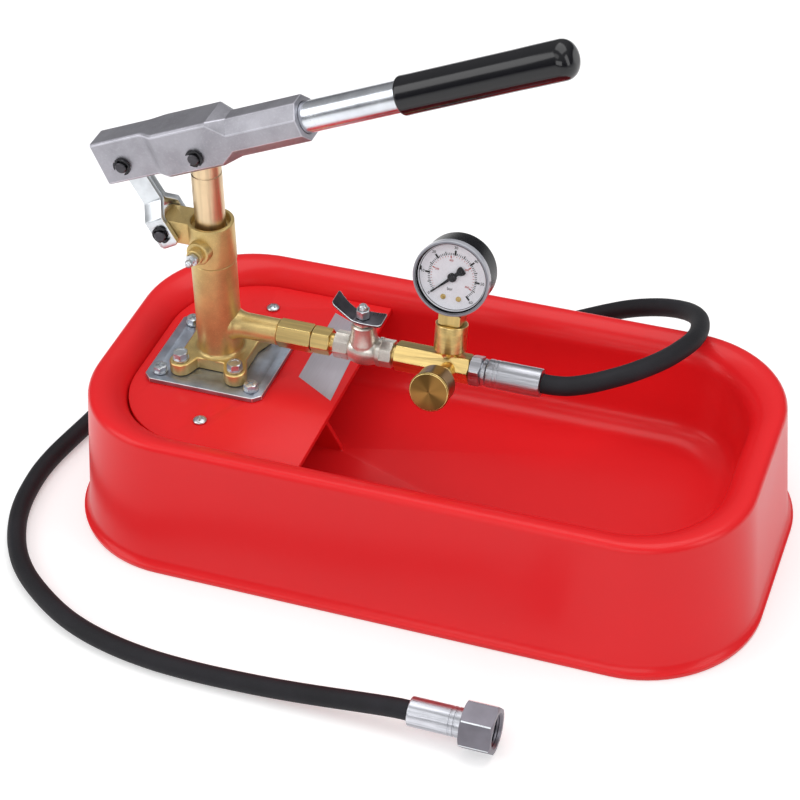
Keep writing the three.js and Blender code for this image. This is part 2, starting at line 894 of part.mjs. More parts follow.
// Where a ball settles on the edge of a round seat, above the seat
function ballHeight(radius, seatRadius) {
  return Math.sqrt(radius ** 2 - seatRadius ** 2);
}

// Cylinder head: its body, lug, greasing boss, seal room and recess
const headBottom = barrelTop + seatGap;
const headTop = barrelTop + headHeight;
const sealBottom = barrelTop + barrelSpigotHeight + seatGap;
const sealTop = sealBottom + sealHeight;
const rodBore = rodRadius + runningGap;

function cylinderHead() {
  const body = turned(
    [
      [0, headBottom],
      [headRadius, headBottom],
      [headRadius, headTop - headChamfer],
      [headRadius - headChamfer, headTop],
      [0, headTop],
    ],
    fineSides,
  );
  const pinX = lugPinX - pumpX;
  const lugOutline = [
    [0, headTop],
    ...arc(pinX, lugPinZ, lugEndRadius, 90, 270, cornerSteps),
    [0, lugPinZ - lugEndRadius],
  ];
  const lug = slab(lugOutline, lugHalfWidth);
  const boss = turned(
    [
      [0, 0],
      [bossRadius, 0],
      [bossRadius, bossReach - headChamfer],
      [bossRadius - headChamfer, bossReach],
      [bossCollarRadius, bossReach],
      [bossCollarRadius, bossCollarReach],
      [0, bossCollarReach],
    ],
    smallSides,
  );
  boss.rotateX(Math.PI / 2).rotateZ(-THREE.MathUtils.degToRad(bossTurnDegrees)).translate(0, 0, bossZ);
  const nippleHole = rod(nippleShankRadius + seatGap, 0, bossCollarReach + cutOverrun, smallSides);
  nippleHole.rotateX(Math.PI / 2).rotateZ(-THREE.MathUtils.degToRad(bossTurnDegrees)).translate(0, 0, bossZ);
  const through = rod(rodBore, headBottom - cutOverrun, headTop + cutOverrun, fineSides);
  const recess = rod(headRecessRadius, headTop - headRecessDepth, headTop + cutOverrun);
  const sealRoom = rod(headRecessRadius, headBottom - cutOverrun, sealTop + seatGap);
  const pinHole = rod(pinRadius + pinHoleClearance, -headRadius, headRadius, smallSides);
  pinHole.rotateX(Math.PI / 2).translate(pinX, 0, lugPinZ);
  return cut(join(body, lug, boss), through, recess, sealRoom, nippleHole, pinHole);
}

function greaseNipple() {
  const shoulder = bossCollarReach + seatGap;
  const hexEnd = shoulder + nippleHexHeight;
  const tip = shoulder + nippleLength;
  const neckDegrees = THREE.MathUtils.radToDeg(Math.acos(nippleNeckRadius / nippleBallRadius));
  const body = turned(
    [
      [0, bossReach],
      [nippleShankRadius, bossReach],
      [nippleShankRadius, hexEnd],
      ...arc(0, tip - nippleBallRadius, nippleBallRadius, -neckDegrees, 90, filletSteps),
    ],
    smallSides,
  );
  const nipple = join(body, flatted(nippleFlats, shoulder, hexEnd, 0));
  return nipple.rotateX(Math.PI / 2).rotateZ(-THREE.MathUtils.degToRad(bossTurnDegrees));
}

// Plunger rod in a frame whose origin is its pivot
function pistonRod() {
  const top = rodTopAbovePivot;
  const bottom = rodBottomZ - pivotZ;
  const body = turned(
    [
      [0, bottom],
      [rodRadius - rodChamfer, bottom],
      [rodRadius, bottom + rodChamfer],
      [rodRadius, top - rodChamfer],
      [rodRadius - rodChamfer, top],
      [0, top],
    ],
    fineSides,
  );
  const hole = rod(pinRadius + pinHoleClearance, -rodRadius - cutOverrun, rodRadius + cutOverrun, smallSides);
  return cut(body, hole.rotateX(Math.PI / 2));
}

// A pin along Y with a groove near each end for its clip; the clips sit just outside its halfWidth
function pivotPin(halfWidth) {
  const groove = pinRadius - pinGrooveDepth;
  const inner = halfWidth;
  const outer = halfWidth + 2 * seatGap + clipThickness;
  const end = outer + pinEndLength;
  const profile = [
    [0, -end],
    [pinRadius, -end],
    [pinRadius, -outer],
    [groove, -outer],
    [groove, -inner],
    [pinRadius, -inner],
    [pinRadius, inner],
    [groove, inner],
    [groove, outer],
    [pinRadius, outer],
    [pinRadius, end],
    [0, end],
  ];
  return turned(profile, tinySides).rotateX(Math.PI / 2);
}

// A spring clip that snaps into a pin's groove, open to one side, with two lugs by its mouth
function springClip(halfWidth, side) {
  const bore = pinRadius - pinGrooveDepth + seatGap;
  const inside = halfWidth + seatGap;
  const ring = sleeve(clipRadius, bore, inside, inside + clipThickness, smallSides);
  const [low, high] = [inside - cutOverrun, inside + clipThickness + cutOverrun];
  const mouth = block(0, clipRadius + cutOverrun, -bore, bore, low, high);
  const reliefs = [-1, 1].map((turn) => {
    const relief = rod(clipLugDepth, low, high, hexSides);
    return relief.translate(-bore * Math.SQRT1_2, turn * bore * Math.SQRT1_2, 0);
  });
  const clip = cut(ring, mouth, ...reliefs);
  return clip.rotateX(side > 0 ? -Math.PI / 2 : Math.PI / 2);
}

function addPinWithClips(parent, name, halfWidth, clipDegrees) {
  add(parent, `${name}_pin`, pivotPin(halfWidth), materials.blackSteel);
  for (const [sideName, side] of [
    ["front", -1],
    ["rear", 1],
  ]) {
    const clip = add(parent, `${name}_clip_${sideName}`, springClip(halfWidth, side), materials.blackSteel);
    clip.rotation.y = THREE.MathUtils.degToRad(clipDegrees);
  }
}

add(pump, "mounting_plate", mountingPlate(), materials.zinc);
for (const [name, x, y] of fourCorners(plateBoltSpacingX, plateBoltSpacingY)) {
  const bolt = hexBolt(
    plateBoltFlats,
    plateBoltHeadHeight,
    plateBoltWasher,
    plateBoltWasherHeight,
    plateBoltShank,
    plateBoltReach,
  );
  add(pump, `plate_bolt_${name}`, bolt, materials.zinc).position.set(x, y, plateTop + seatGap);
}
add(pump, "pump_barrel", pumpBarrel(), materials.castBrass);
for (const [name, x, y] of fourCorners(flangeBoltSpacingX, flangeBoltSpacingY)) {
  const bolt = hexBolt(
    flangeBoltFlats,
    flangeBoltHeadHeight,
    flangeBoltWasher,
    flangeBoltWasherHeight,
    flangeBoltShank,
    flangeThickness + plateThickness,
  );
  add(pump, `flange_bolt_${name}`, bolt, materials.zinc).position.set(x, y, flangeTop + seatGap);
}
add(pump, "suction_fitting", suctionFitting(), materials.brass);
add(pump, "suction_strainer", strainer(), materials.blackPlastic);
const suctionSphere = new THREE.SphereGeometry(suctionBallRadius, tinySides, hexSides);
const suctionBall = add(pump, "suction_ball", suctionSphere, materials.steel);
suctionBall.position.z = fittingTop + ballHeight(suctionBallRadius, suctionBore) + seatGap / 2;
add(pump, "gland_seal", sleeve(barrelSpigotRadius, rodBore, sealBottom, sealTop), materials.seal);
add(pump, "cylinder_head", cylinderHead(), materials.castBrass);
add(pump, "grease_nipple", greaseNipple(), materials.zinc).position.z = bossZ;
add(pump, "piston_rod", pistonRod(), materials.brass).position.z = pivotZ;

const strapOuterFace = lugHalfWidth + 2 * seatGap + strapThickness;
const lugPivot = frameAt(fitted, lugPinX, 0, lugPinZ);
addPinWithClips(lugPivot, "lug", strapOuterFace + seatGap, lugClipDegrees);

// Lever: a frame at the rod's pivot, with its X along the handle

const lever = frameAt(fitted, pumpX, 0, pivotZ);
const leverAngle = THREE.MathUtils.degToRad(leverDegrees);
lever.rotation.y = -leverAngle;

// A section across the lever: a rectangle with its corners cut, as a ring of eight points
function leverSection(x, halfWidth, bottom, top, edgeCut) {
  return [
    [x, halfWidth - edgeCut, bottom],
    [x, halfWidth, bottom + edgeCut],
    [x, halfWidth, top - edgeCut],
    [x, halfWidth - edgeCut, top],
    [x, -halfWidth + edgeCut, top],
    [x, -halfWidth, top - edgeCut],
    [x, -halfWidth, bottom + edgeCut],
    [x, -halfWidth + edgeCut, bottom],
  ];
}

function leverHead() {
  const half = socketFlats / 2;
  const octagonCut = socketFlats * (1 - Math.SQRT1_2);
  const socketBottom = tubeAxisOffset - half;
  const socketTop = tubeAxisOffset + half;
  const casting = loft([
    leverSection(forkEndX, forkHalfWidth, forkBottom, forkTop, forkEdgeCut),
    leverSection(forkFlareStartX, forkHalfWidth, forkBottom, forkTop, forkEdgeCut),
    leverSection(forkFlareEndX, cheekHalfWidth, cheekBottom, cheekTop, cheekEdgeCut),
    leverSection(cheekEndX, cheekHalfWidth, cheekBottom, cheekTop, cheekEdgeCut),
    leverSection(shoulderEndX, half, socketBottom, socketTop, octagonCut),
    leverSection(socketEndX, half, socketBottom, socketTop, octagonCut),
  ]);
  const low = cheekBottom - cutOverrun;
  const linkSlot = block(forkEndX - cutOverrun, 0, -linkSlotHalfWidth, linkSlotHalfWidth, low, forkSlotTop);
  const rodSlot = block(rodSlotStartX, rodSlotEndX, -rodBore, rodBore, low, forkSlotTop);
  const tubeBore = rod(tubeRadius + seatGap, tubeStartX - seatGap, socketEndX + cutOverrun);
  tubeBore.rotateY(Math.PI / 2).translate(0, 0, tubeAxisOffset);
  const hole = () => {
    const reach = cheekHalfWidth + cutOverrun;
    return rod(pinRadius + pinHoleClearance, -reach, reach, smallSides).rotateX(Math.PI / 2);
  };
  return cut(casting, linkSlot, rodSlot, tubeBore, hole(), hole().translate(leverLinkPinX, 0, leverLinkPinZ));
}

function handleGrip() {
  const inner = tubeRadius + seatGap;
  const outer = inner + gripWall;
  const end = gripEndX - gripStartX;
  const roundX = outer - gripEndRadius;
  const body = turned(
    [
      [inner, 0],
      [outer - gripWall / 2, 0],
      [outer, gripWall],
      ...arc(roundX, end - gripEndRadius, gripEndRadius, 0, 90, filletSteps),
      [0, end],
      [0, end - gripEndWall],
      [inner, end - gripEndWall],
      [inner, 0],
    ],
    fineSides,
  );
  return body.rotateY(Math.PI / 2).translate(gripStartX, 0, tubeAxisOffset);
}

add(lever, "lever_head", leverHead(), materials.castAluminium);
const tubeEndX = gripEndX - gripEndWall - seatGap;
const tube = sleeve(tubeRadius, tubeRadius - tubeWall, tubeStartX, tubeEndX, fineSides).rotateY(Math.PI / 2);
add(lever, "handle_tube", tube.translate(0, 0, tubeAxisOffset), materials.steel);
add(lever, "handle_grip", handleGrip(), materials.blackVinyl);
addPinWithClips(lever, "rod", cheekHalfWidth + seatGap, rodClipDegrees);
const forkPivot = frameAt(lever, leverLinkPinX, 0, leverLinkPinZ);
addPinWithClips(forkPivot, "fork", forkHalfWidth + seatGap, forkClipDegrees);

// Link straps: a frame at the lug's pin, with its Z pointing up the links to the fork's pin

const forkPinX = pumpX + leverLinkPinX * Math.cos(leverAngle) - leverLinkPinZ * Math.sin(leverAngle);
const forkPinZ = pivotZ + leverLinkPinX * Math.sin(leverAngle) + leverLinkPinZ * Math.cos(leverAngle);
const linkLength = Math.hypot(forkPinX - lugPinX, forkPinZ - lugPinZ);
const links = frameAt(fitted, lugPinX, 0, lugPinZ);
links.rotation.y = Math.atan2(forkPinX - lugPinX, forkPinZ - lugPinZ);

// One strap, bent from flat bar: close to its twin in the fork, set out on each side of the lug
function linkStrap(side) {
  const top = linkLength + strapTopOverhang;
  const crankHigh = linkLength - strapCrankStart;
  const crankLow = linkLength - strapCrankEnd;
  const innerHigh = strapMiddleGap;
  const innerLow = lugHalfWidth + 2 * seatGap;
  const bend = strapThickness * Math.tan(Math.PI / 8);
  const profile = [
    [innerHigh, top],
    [innerHigh, crankHigh],
    [innerLow, crankLow],
    [innerLow, -strapFootOverhang],
    [innerLow + strapThickness, -strapFootOverhang],
    [innerLow + strapThickness, crankLow + bend],
    [innerHigh + strapThickness, crankHigh + bend],
    [innerHigh + strapThickness, top],
  ];
  const bent = prism(profile, -strapTopHalfWidth - cutOverrun, strapTopHalfWidth + cutOverrun);
  bent.rotateX(Math.PI / 2).rotateZ(Math.PI / 2);
  if (side < 0) bent.rotateZ(Math.PI);
  const foot = -strapFootOverhang;
  const plan = [
    [-strapFootHalfWidth + strapCornerCut, foot],
    [strapFootHalfWidth - strapCornerCut, foot],
    [strapFootHalfWidth, foot + strapCornerCut],
    ...arc(0, linkLength, strapTopHalfWidth, 0, 180, cornerSteps),
    [-strapFootHalfWidth, foot + strapCornerCut],
  ];
  const blank = slab(plan, cheekHalfWidth + strapThickness);
  const reach = cheekHalfWidth + strapThickness + cutOverrun;
  const pinBore = pinRadius + pinHoleClearance;
  const lowHole = rod(pinBore, -reach, reach, smallSides).rotateX(Math.PI / 2);
  const slotOutline = new THREE.Shape();
  const left = -strapPinSlotLeft;
  const right = strapPinSlotRight;
  const quarter = Math.PI / 2;
  slotOutline.absarc(right, strapPinSlotUp, pinBore, 0, quarter, false);
  slotOutline.absarc(left, strapPinSlotUp, pinBore, quarter, 2 * quarter, false);
  slotOutline.absarc(left, -strapPinSlotUp, pinBore, 2 * quarter, 3 * quarter, false);
  slotOutline.absarc(right, -strapPinSlotUp, pinBore, 3 * quarter, 4 * quarter, false);
  const highHole = slab(slotOutline, reach).translate(0, 0, linkLength);
  return cut(common(bent, blank), lowHole, highHole);
}

add(links, "link_strap_front", linkStrap(-1), materials.zinc);
add(links, "link_strap_rear", linkStrap(1), materials.zinc);

// Delivery line: a frame on the line's axis, with its own Z along the part's X

const line = frameAt(fitted, 0, 0, lineZ);
line.rotation.y = Math.PI / 2;

const checkStart = outletEndX + seatGap;
const checkSeatX = outletEndX - spigotLength + checkSeatDepth;
const adapterStart = checkBodyEndX + seatGap;

function checkBody() {
  const hex = flatted(adapterFlats, checkStart, checkBodyEndX, hexChamfer);
  const spigot = rod(spigotRadius, outletEndX - spigotLength, checkStart + seatGap, smallSides);
  const entry = rod(checkSeatBore, outletEndX - spigotLength - cutOverrun, checkBodyEndX, tinySides);
  const chamber = rod(checkChamberRadius, checkSeatX, checkBodyEndX + cutOverrun, smallSides);
  const socketStart = checkBodyEndX - spigotLength - seatGap;
  const socket = rod(spigotRadius + seatGap, socketStart, checkBodyEndX + cutOverrun, smallSides);
  return cut(join(hex, spigot), entry, chamber, socket);
}

function adapter() {
  const hex = flatted(adapterSmallFlats, adapterStart, adapterEndX, hexChamfer);
  const [start, end] = [checkBodyEndX - spigotLength, valveStartX + spigotLength];
  const spigot = rod(spigotRadius, start, end, smallSides);
  const bore = rod(lineBore, start - cutOverrun, end + cutOverrun, tinySides);
  return cut(join(hex, spigot), bore);
}

// A spring of round wire along Z, as one tube with flat ends
function coilSpring(radius, wire, start, end, turns) {
  const rings = [];
  const steps = turns * springStepsPerTurn;
  for (let i = 0; i <= steps; i += 1) {
    const angle = (2 * Math.PI * i) / springStepsPerTurn;
    const height = start + wire + ((end - start - 2 * wire) * i) / steps;
    const ring = [];
    for (let j = 0; j < springWireSides; j += 1) {
      const turn = (2 * Math.PI * j) / springWireSides;
      const reach = radius + wire * Math.cos(turn);
      ring.push([reach * Math.cos(angle), reach * Math.sin(angle), height + wire * Math.sin(turn)]);
    }
    rings.push(ring);
  }
  return toGeometry(toSolid(loft(rings)));
}

const checkBallX = checkSeatX + ballHeight(checkBallRadius, checkSeatBore) + seatGap / 2;
const springStart = checkBallX + ballHeight(checkBallRadius, springRadius) + seatGap + springWire;
const springEnd = checkBodyEndX - spigotLength - seatGap;

add(line, "check_valve_body", checkBody(), materials.brass);
const checkSphere = new THREE.SphereGeometry(checkBallRadius, tinySides, hexSides);
const checkBall = add(line, "check_ball", checkSphere, materials.steel);
checkBall.position.z = checkBallX;
const spring = coilSpring(springRadius, springWire, springStart, springEnd, springTurns);
add(line, "check_spring", spring, materials.steel);
add(line, "line_adapter", adapter(), materials.brass);

// Ball valve

function valveBody() {
  const bulgeStart = valveBallX - valveBodyLength / 2;
  const bulgeEnd = valveBallX + valveBodyLength / 2;
  const nutStart = valveEndX - valveNutLength;
  const cast = turned(
    [
      [0, valveStartX + hexChamfer],
      [valveWaistRadius, valveStartX + hexChamfer],
      [valveWaistRadius, bulgeStart],
      ...arc(0, 0, 1, valveBulgeFrom, valveBulgeTo, curveSteps).map(([along, out]) => [
        valveWaistRadius + out * (valveBodyRadius - valveWaistRadius),
        valveBallX + (along * valveBodyLength) / 2,
      ]),
      [valveWaistRadius, bulgeEnd],
      [valveWaistRadius, valveEndX - hexChamfer],
      [0, valveEndX - hexChamfer],
    ],
    smallSides,
  );
  const hex = flatted(valveHexFlats, valveStartX, valveStartX + valveHexLength, hexChamfer);
  const nut = flatted(valveHexFlats, nutStart, valveEndX, hexChamfer);
  const neck = rod(valveNeckRadius, 0, valveNeckTop, smallSides);
  neck.rotateY(-Math.PI / 2).translate(0, 0, valveBallX);
  const chamberStart = valveBallX - valveChamberLength / 2;
  const chamber = rod(valveChamberRadiusInside, chamberStart, chamberStart + valveChamberLength, smallSides);
  const socketDepth = spigotLength + seatGap;
  const left = rod(spigotRadius + seatGap, valveStartX - cutOverrun, valveStartX + socketDepth, smallSides);
  const right = rod(spigotRadius + seatGap, valveEndX - socketDepth, valveEndX + cutOverrun, smallSides);
  const way = rod(valveBallBore, valveStartX, valveEndX, tinySides);
  const stem = rod(valveStemRadius + runningGap, 0, valveNeckTop + cutOverrun, smallSides);
  stem.rotateY(-Math.PI / 2).translate(0, 0, valveBallX);
  return cut(join(cast, hex, nut, neck), chamber, left, right, way, stem);
}

function valveSeat(side) {
  const outer = valveChamberRadiusInside - seatGap;
  const end = valveChamberLength / 2 - seatGap;
  const start = end - valveSeatLength;
  const ring = turned(
    [
      [valveSeatBallRadius, start],
      [outer, start],
      [outer, end],
      [valveBallBore, end],
      [valveSeatBallRadius, start],
    ],
    smallSides,
  );
  return side > 0 ? ring : ring.rotateX(Math.PI);
}

function valveBallAndStem() {
  const ball = new THREE.SphereGeometry(valveBallRadius, smallSides, tinySides);
  const way = rod(valveBallBore, -valveBallRadius - cutOverrun, valveBallRadius + cutOverrun, tinySides);
  const stem = rod(valveStemRadius, valveBallRadius / 2, valveStemTop, smallSides).rotateY(-Math.PI / 2);
  return cut(join(ball, stem), way);
}

// Bent sheet handle: a flat hub, a long wing raised to the left and a short one turned down
function valveHandle() {
  const low = valveNeckTop + valveGlandHeight + 2 * seatGap;
  const half = handleHubLength / 2;
  const side = [
    [-half - handleTipLength, low + handleTipRise],
    [-half - handleTipLength * handleBendShare, low + handleTipRise * handleBendRiseShare],
    [-half, low],
    [half, low],
    [half + handleShortLength * handleDropShare, low - handleShortDrop * handleDropRiseShare],
    [half + handleShortLength, low - handleShortDrop],
  ];
  const upper = [...side].reverse().map(([x, z]) => [x, z + handlePlate]);
  const sheet = slab([...side, ...upper], handleWidth);
  const end = handleWidth / 2;
  const plan = new THREE.Shape();
  const shortEnd = half + handleShortLength - end;
  plan.absarc(shortEnd, 0, end, -Math.PI / 2, Math.PI / 2, false);
  const waistX = -half - handleTipLength * handleWaistPlaceShare;
  const waist = end * handleWaistShare;
  plan.lineTo(-half, end);
  plan.quadraticCurveTo(waistX, waist, -half - handleTipLength, end);
  plan.lineTo(-half - handleTipLength, -end);
  plan.quadraticCurveTo(waistX, -waist, -half, -end);
  const tipTop = low + handleTipRise + handlePlate;
  const blank = prism(plan, low - handleShortDrop - cutOverrun, tipTop + cutOverrun);
  const hole = rod(valveStemRadius + seatGap, low - cutOverrun, low + handlePlate + cutOverrun, smallSides);
  return cut(common(sheet, blank), hole);
}

add(line, "valve_body", valveBody(), materials.nickel);
add(line, "valve_seat_left", valveSeat(-1), materials.seal).position.z = valveBallX;
add(line, "valve_seat_right", valveSeat(1), materials.seal).position.z = valveBallX;
add(line, "valve_ball_stem", valveBallAndStem(), materials.nickel).position.z = valveBallX;
const valveTop = frameAt(fitted, valveBallX, 0, lineZ);
const glandBottom = valveNeckTop + seatGap;
const gland = cut(
  flatted(valveGlandFlats, glandBottom, glandBottom + valveGlandHeight, hexChamfer),
  rod(valveStemRadius + runningGap, 0, valveStemTop, smallSides),
);
add(valveTop, "valve_gland_nut", gland, materials.nickel);
add(valveTop, "valve_handle", valveHandle(), materials.zinc);
const handleNutBottom = glandBottom + valveGlandHeight + seatGap + handlePlate + seatGap;
const handleNut = cut(
  flatted(handleNutFlats, handleNutBottom, handleNutBottom + handleNutHeight, hexChamfer),
  rod(valveStemRadius + seatGap, 0, valveStemTop + cutOverrun, smallSides),
);
add(valveTop, "valve_handle_nut", handleNut, materials.nickel);

// Manifold block with the gauge above it and the vent knob in front, all tilted back together

const manifold = frameAt(fitted, 0, 0, lineZ);
manifold.rotation.x = -THREE.MathUtils.degToRad(blockTiltDegrees);

function manifoldBlock() {
  const bar = flatted(blockFlats, blockStartX, blockEndX, blockChamfer);
  bar.rotateZ(THREE.MathUtils.degToRad(blockTurnDegrees)).rotateY(Math.PI / 2);
  const socket = rod(gaugeSocketRadius, 0, gaugeSocketTop).translate(gaugeX, 0, 0);
  const collar = rod(knobCollarRadius, 0, knobCollarReach).rotateX(Math.PI / 2).translate(knobX, 0, 0);
  const way = rod(lineBore, blockStartX - cutOverrun, blockEndX + cutOverrun, tinySides).rotateY(Math.PI / 2);
  const reach = spigotLength + 2 * seatGap;
  const hole = spigotRadius + seatGap;
  const left = rod(hole, blockStartX - cutOverrun, blockStartX + reach, smallSides);
  const right = rod(hole, blockEndX - reach, blockEndX + cutOverrun, smallSides);
  const gaugeHole = rod(hole, gaugeSocketTop - gaugeSocketBoreDepth, gaugeSocketTop + cutOverrun, smallSides);
  const gaugeWay = rod(lineBore, 0, gaugeSocketTop, tinySides);
  const knobHole = rod(knobSpindleRadius + runningGap, 0, knobCollarReach + cutOverrun, smallSides);
  return cut(
    join(bar, socket, collar),
    way,
    left.rotateY(Math.PI / 2),
    right.rotateY(Math.PI / 2),
    gaugeHole.translate(gaugeX, 0, 0),
    gaugeWay.translate(gaugeX, 0, 0),
    knobHole.rotateX(Math.PI / 2).translate(knobX, 0, 0),
  );
}

function ventKnob() {
  const hubStart = knobCollarReach + seatGap;
  const headStart = knobFrontReach - knobHeadThickness;
  const profile = [
    [0, knobSpindleEnd],
    [knobSpindleRadius, knobSpindleEnd],
    [knobSpindleRadius, hubStart],
    [knobHubRadius - knobChamfer, hubStart],
    [knobHubRadius, hubStart + knobChamfer],
    [knobHubRadius, headStart],
    [knobHeadRadius, headStart + knobChamfer],
    [knobHeadRadius, knobFrontReach - knobChamfer],
    [knobHeadRadius - knobChamfer, knobFrontReach],
    [0, knobFrontReach],
  ];
  return turned(profile).rotateX(Math.PI / 2);
}

add(manifold, "manifold_block", manifoldBlock(), materials.brass);
add(manifold, "vent_knob", ventKnob(), materials.brass).position.x = knobX;

// Gauge: a frame at the dial's centre, with its Z towards the reader and its Y up the stem

const gauge = frameAt(manifold, gaugeX, 0, gaugeCentreHeight);
gauge.rotation.x = Math.PI / 2;
const lipBack = gaugeFrontReach - gaugeBezelLipHeight;
const lensBack = lipBack - seatGap - gaugeLensHeight;
const dialFront = gaugeFrontReach - gaugeDialDepth;
const dialBack = dialFront - gaugeDialHeight;
const caseFront = lensBack - seatGap;
const needleBack = dialFront + gaugeNeedleClearance - gaugeNeedleHeight / 2;
const lensRadius = gaugeBezelRadius - gaugeBezelLip + seatGap * 2;
const dialRadius = gaugeCaseRadius - gaugeCaseWall - seatGap;

function gaugeStem() {
  const neckBottom = gaugeSocketTop + seatGap - gaugeCentreHeight;
  const caseBottom = -gaugeCaseRadius + gaugeCaseWall;
  const threadBottom = gaugeSocketTop - gaugeStemReach - gaugeCentreHeight;
  const neck = flatted(gaugeNeckFlats, neckBottom, -gaugeBezelRadius - seatGap, hexChamfer, squareSides);
  neck.rotateZ(Math.PI / squareSides);
  const stem = rod(spigotRadius, threadBottom, caseBottom, smallSides);
  const way = rod(lineBore / 2, threadBottom - cutOverrun, caseBottom + cutOverrun, tinySides);
  return cut(join(neck, stem), way).rotateX(-Math.PI / 2);
}

function gaugeCase() {
  const edge = gaugeCaseEdge;
  const inner = gaugeCaseRadius - gaugeCaseWall;
  const back = -gaugeBackReach;
  const cup = turned(
    [
      [0, back],
      [gaugeCaseRadius - edge, back],
      [gaugeCaseRadius, back + edge],
      [gaugeCaseRadius, caseFront],
      [inner, caseFront],
      [inner, dialBack - seatGap],
      [inner, back + edge],
      [inner - edge, back + gaugeCaseWall],
      [0, back + gaugeCaseWall],
    ],
    fineSides,
  );
  const stemHole = rod(spigotRadius + seatGap, 0, gaugeCaseRadius + cutOverrun, smallSides);
  return cut(cup, stemHole.rotateX(Math.PI / 2));
}

function gaugeBezel() {
  const outer = gaugeBezelRadius;
  const inner = gaugeCaseRadius + seatGap;
  const back = gaugeFrontReach - gaugeBezelDepth;
  const lip = outer - gaugeBezelLip;
  const edge = gaugeBezelLipHeight / 2;
  return turned(
    [
      [inner, back],
      [outer, back],
      [outer, gaugeFrontReach - edge],
      [outer - edge, gaugeFrontReach],
      [lip, gaugeFrontReach],
      [lip, lipBack],
      [inner, lipBack],
      [inner, back],
    ],
    fineSides,
  );
}

function gaugeDial() {
  const disc = rod(dialRadius, dialBack, dialFront, fineSides);
  const hole = rod(gaugeNeedleShaft + runningGap, dialBack - cutOverrun, dialFront + cutOverrun, tinySides);
  return cut(disc, hole);
}

function gaugeNeedle() {
  const half = gaugeNeedleWidth / 2;
  const tip = half * gaugeNeedleTipShare;
  const tail = gaugeNeedleTailWidth;
  const outline = [
    [gaugeNeedleHub / 2, -half],
    [gaugeNeedleLength, -tip],
    [gaugeNeedleLength, tip],
    [gaugeNeedleHub / 2, half],
    [-gaugeNeedleHub, half],
    [-gaugeNeedleTail, tail],
    [-gaugeNeedleTail, -tail],
    [-gaugeNeedleHub, -half],
  ];
  const needleFront = needleBack + gaugeNeedleHeight;
  const hub = rod(gaugeNeedleHub, needleBack, needleFront, smallSides);
  const shaft = rod(gaugeNeedleShaft, dialBack - gaugeNeedleHub, needleFront, tinySides);
  return join(prism(outline, needleBack, needleFront), hub, shaft);
}

add(gauge, "gauge_stem", gaugeStem(), materials.brass);
add(gauge, "gauge_case", gaugeCase(), materials.blackPlastic);
add(gauge, "gauge_bezel", gaugeBezel(), materials.greyPlastic);
add(gauge, "gauge_dial", gaugeDial(), materials.whiteDial);
add(gauge, "gauge_lens", rod(lensRadius, lensBack, lipBack - seatGap, fineSides), materials.clear);
const needle = add(gauge, "gauge_needle", gaugeNeedle(), materials.blackPlastic);
needle.rotation.z = THREE.MathUtils.degToRad(gaugeZeroDegrees);

// Hose: its fitting and ferrule on the block, the tube on its route, and the end with the swivel nut

function hoseFitting() {
  const nutStart = blockEndX + seatGap;
  const tubeEnd = ferruleStartX + ferruleTubeDepth;
  const hex = flatted(hoseFlats, nutStart, hoseNutEndX, hexChamfer);
  const body = turned(
    [
      [0, blockEndX - spigotLength],
      [spigotRadius, blockEndX - spigotLength],
      [spigotRadius, nutStart + seatGap],
      [hoseNeckRadius, nutStart + seatGap],
      [hoseNeckRadius, ferruleStartX - seatGap],
      [ferruleTubeRadius, ferruleStartX - seatGap],
      [ferruleTubeRadius, tubeEnd],
      [0, tubeEnd],
    ],
    smallSides,
  );
  const bore = rod(lineBore, blockEndX - spigotLength - cutOverrun, tubeEnd + cutOverrun, tinySides);
  return cut(join(hex, body), bore);
}

// A ferrule along Z that opens at its start for the fitting's tube, with a crimp groove round it
function ferrule(length) {
  const inner = ferruleTubeRadius + seatGap;
  const crimped = ferruleRadius - ferruleCrimpDepth;
  const crimpEnd = ferruleCrimpPlace + ferruleCrimpWidth;
  return turned(
    [
      [inner, 0],
      [crimped, 0],
      [ferruleRadius, ferruleCrimpDepth],
      [ferruleRadius, ferruleCrimpPlace],
      [crimped, ferruleCrimpPlace + ferruleCrimpDepth],
      [crimped, crimpEnd],
      [ferruleRadius, crimpEnd + ferruleCrimpDepth],
      [ferruleRadius, length - ferruleCrimpDepth],
      [crimped, length],
      [0, length],
      [0, ferruleTubeDepth + seatGap],
      [inner, ferruleTubeDepth + seatGap],
      [inner, 0],
    ],
    smallSides,
  );
}

function hoseTube() {
  const points = hoseRoute.map(([x, y, z]) => new THREE.Vector3(x, y, z));
  const route = new THREE.CatmullRomCurve3(points, false, "centripetal");
  const ring = arc(0, 0, hoseRadius, 0, 360, hoseSides).slice(1);
  const section = new THREE.Shape(ring.map(([x, y]) => new THREE.Vector2(x, y)));
  return new THREE.ExtrudeGeometry(section, { steps: hoseSteps, bevelEnabled: false, extrudePath: route });
}

const tailNutStart = tailStartX + tailFerruleLength + seatGap;

// The hose's end fitting along Z: a tube into the ferrule, a neck through the nut and a sealing nose
function hoseTail() {
  const flangeStart = tailNutStart + swivelBackWall + seatGap;
  const flangeEnd = flangeStart + tailFlangeLength;
  const tubeStart = tailStartX + tailFerruleLength - ferruleTubeDepth;
  const neckStart = tailStartX + tailFerruleLength + seatGap;
  const noseEnd = flangeEnd + tailNoseLength;
  const body = turned(
    [
      [0, tubeStart],
      [ferruleTubeRadius, tubeStart],
      [ferruleTubeRadius, neckStart],
      [tailNeckRadius, neckStart],
      [tailNeckRadius, flangeStart],
      [tailFlangeRadius, flangeStart],
      [tailFlangeRadius, flangeEnd],
      [tailNeckRadius, noseEnd],
      [0, noseEnd],
    ],
    smallSides,
  );
  return cut(body, rod(tailBore, tubeStart - cutOverrun, noseEnd + cutOverrun, tinySides));
}

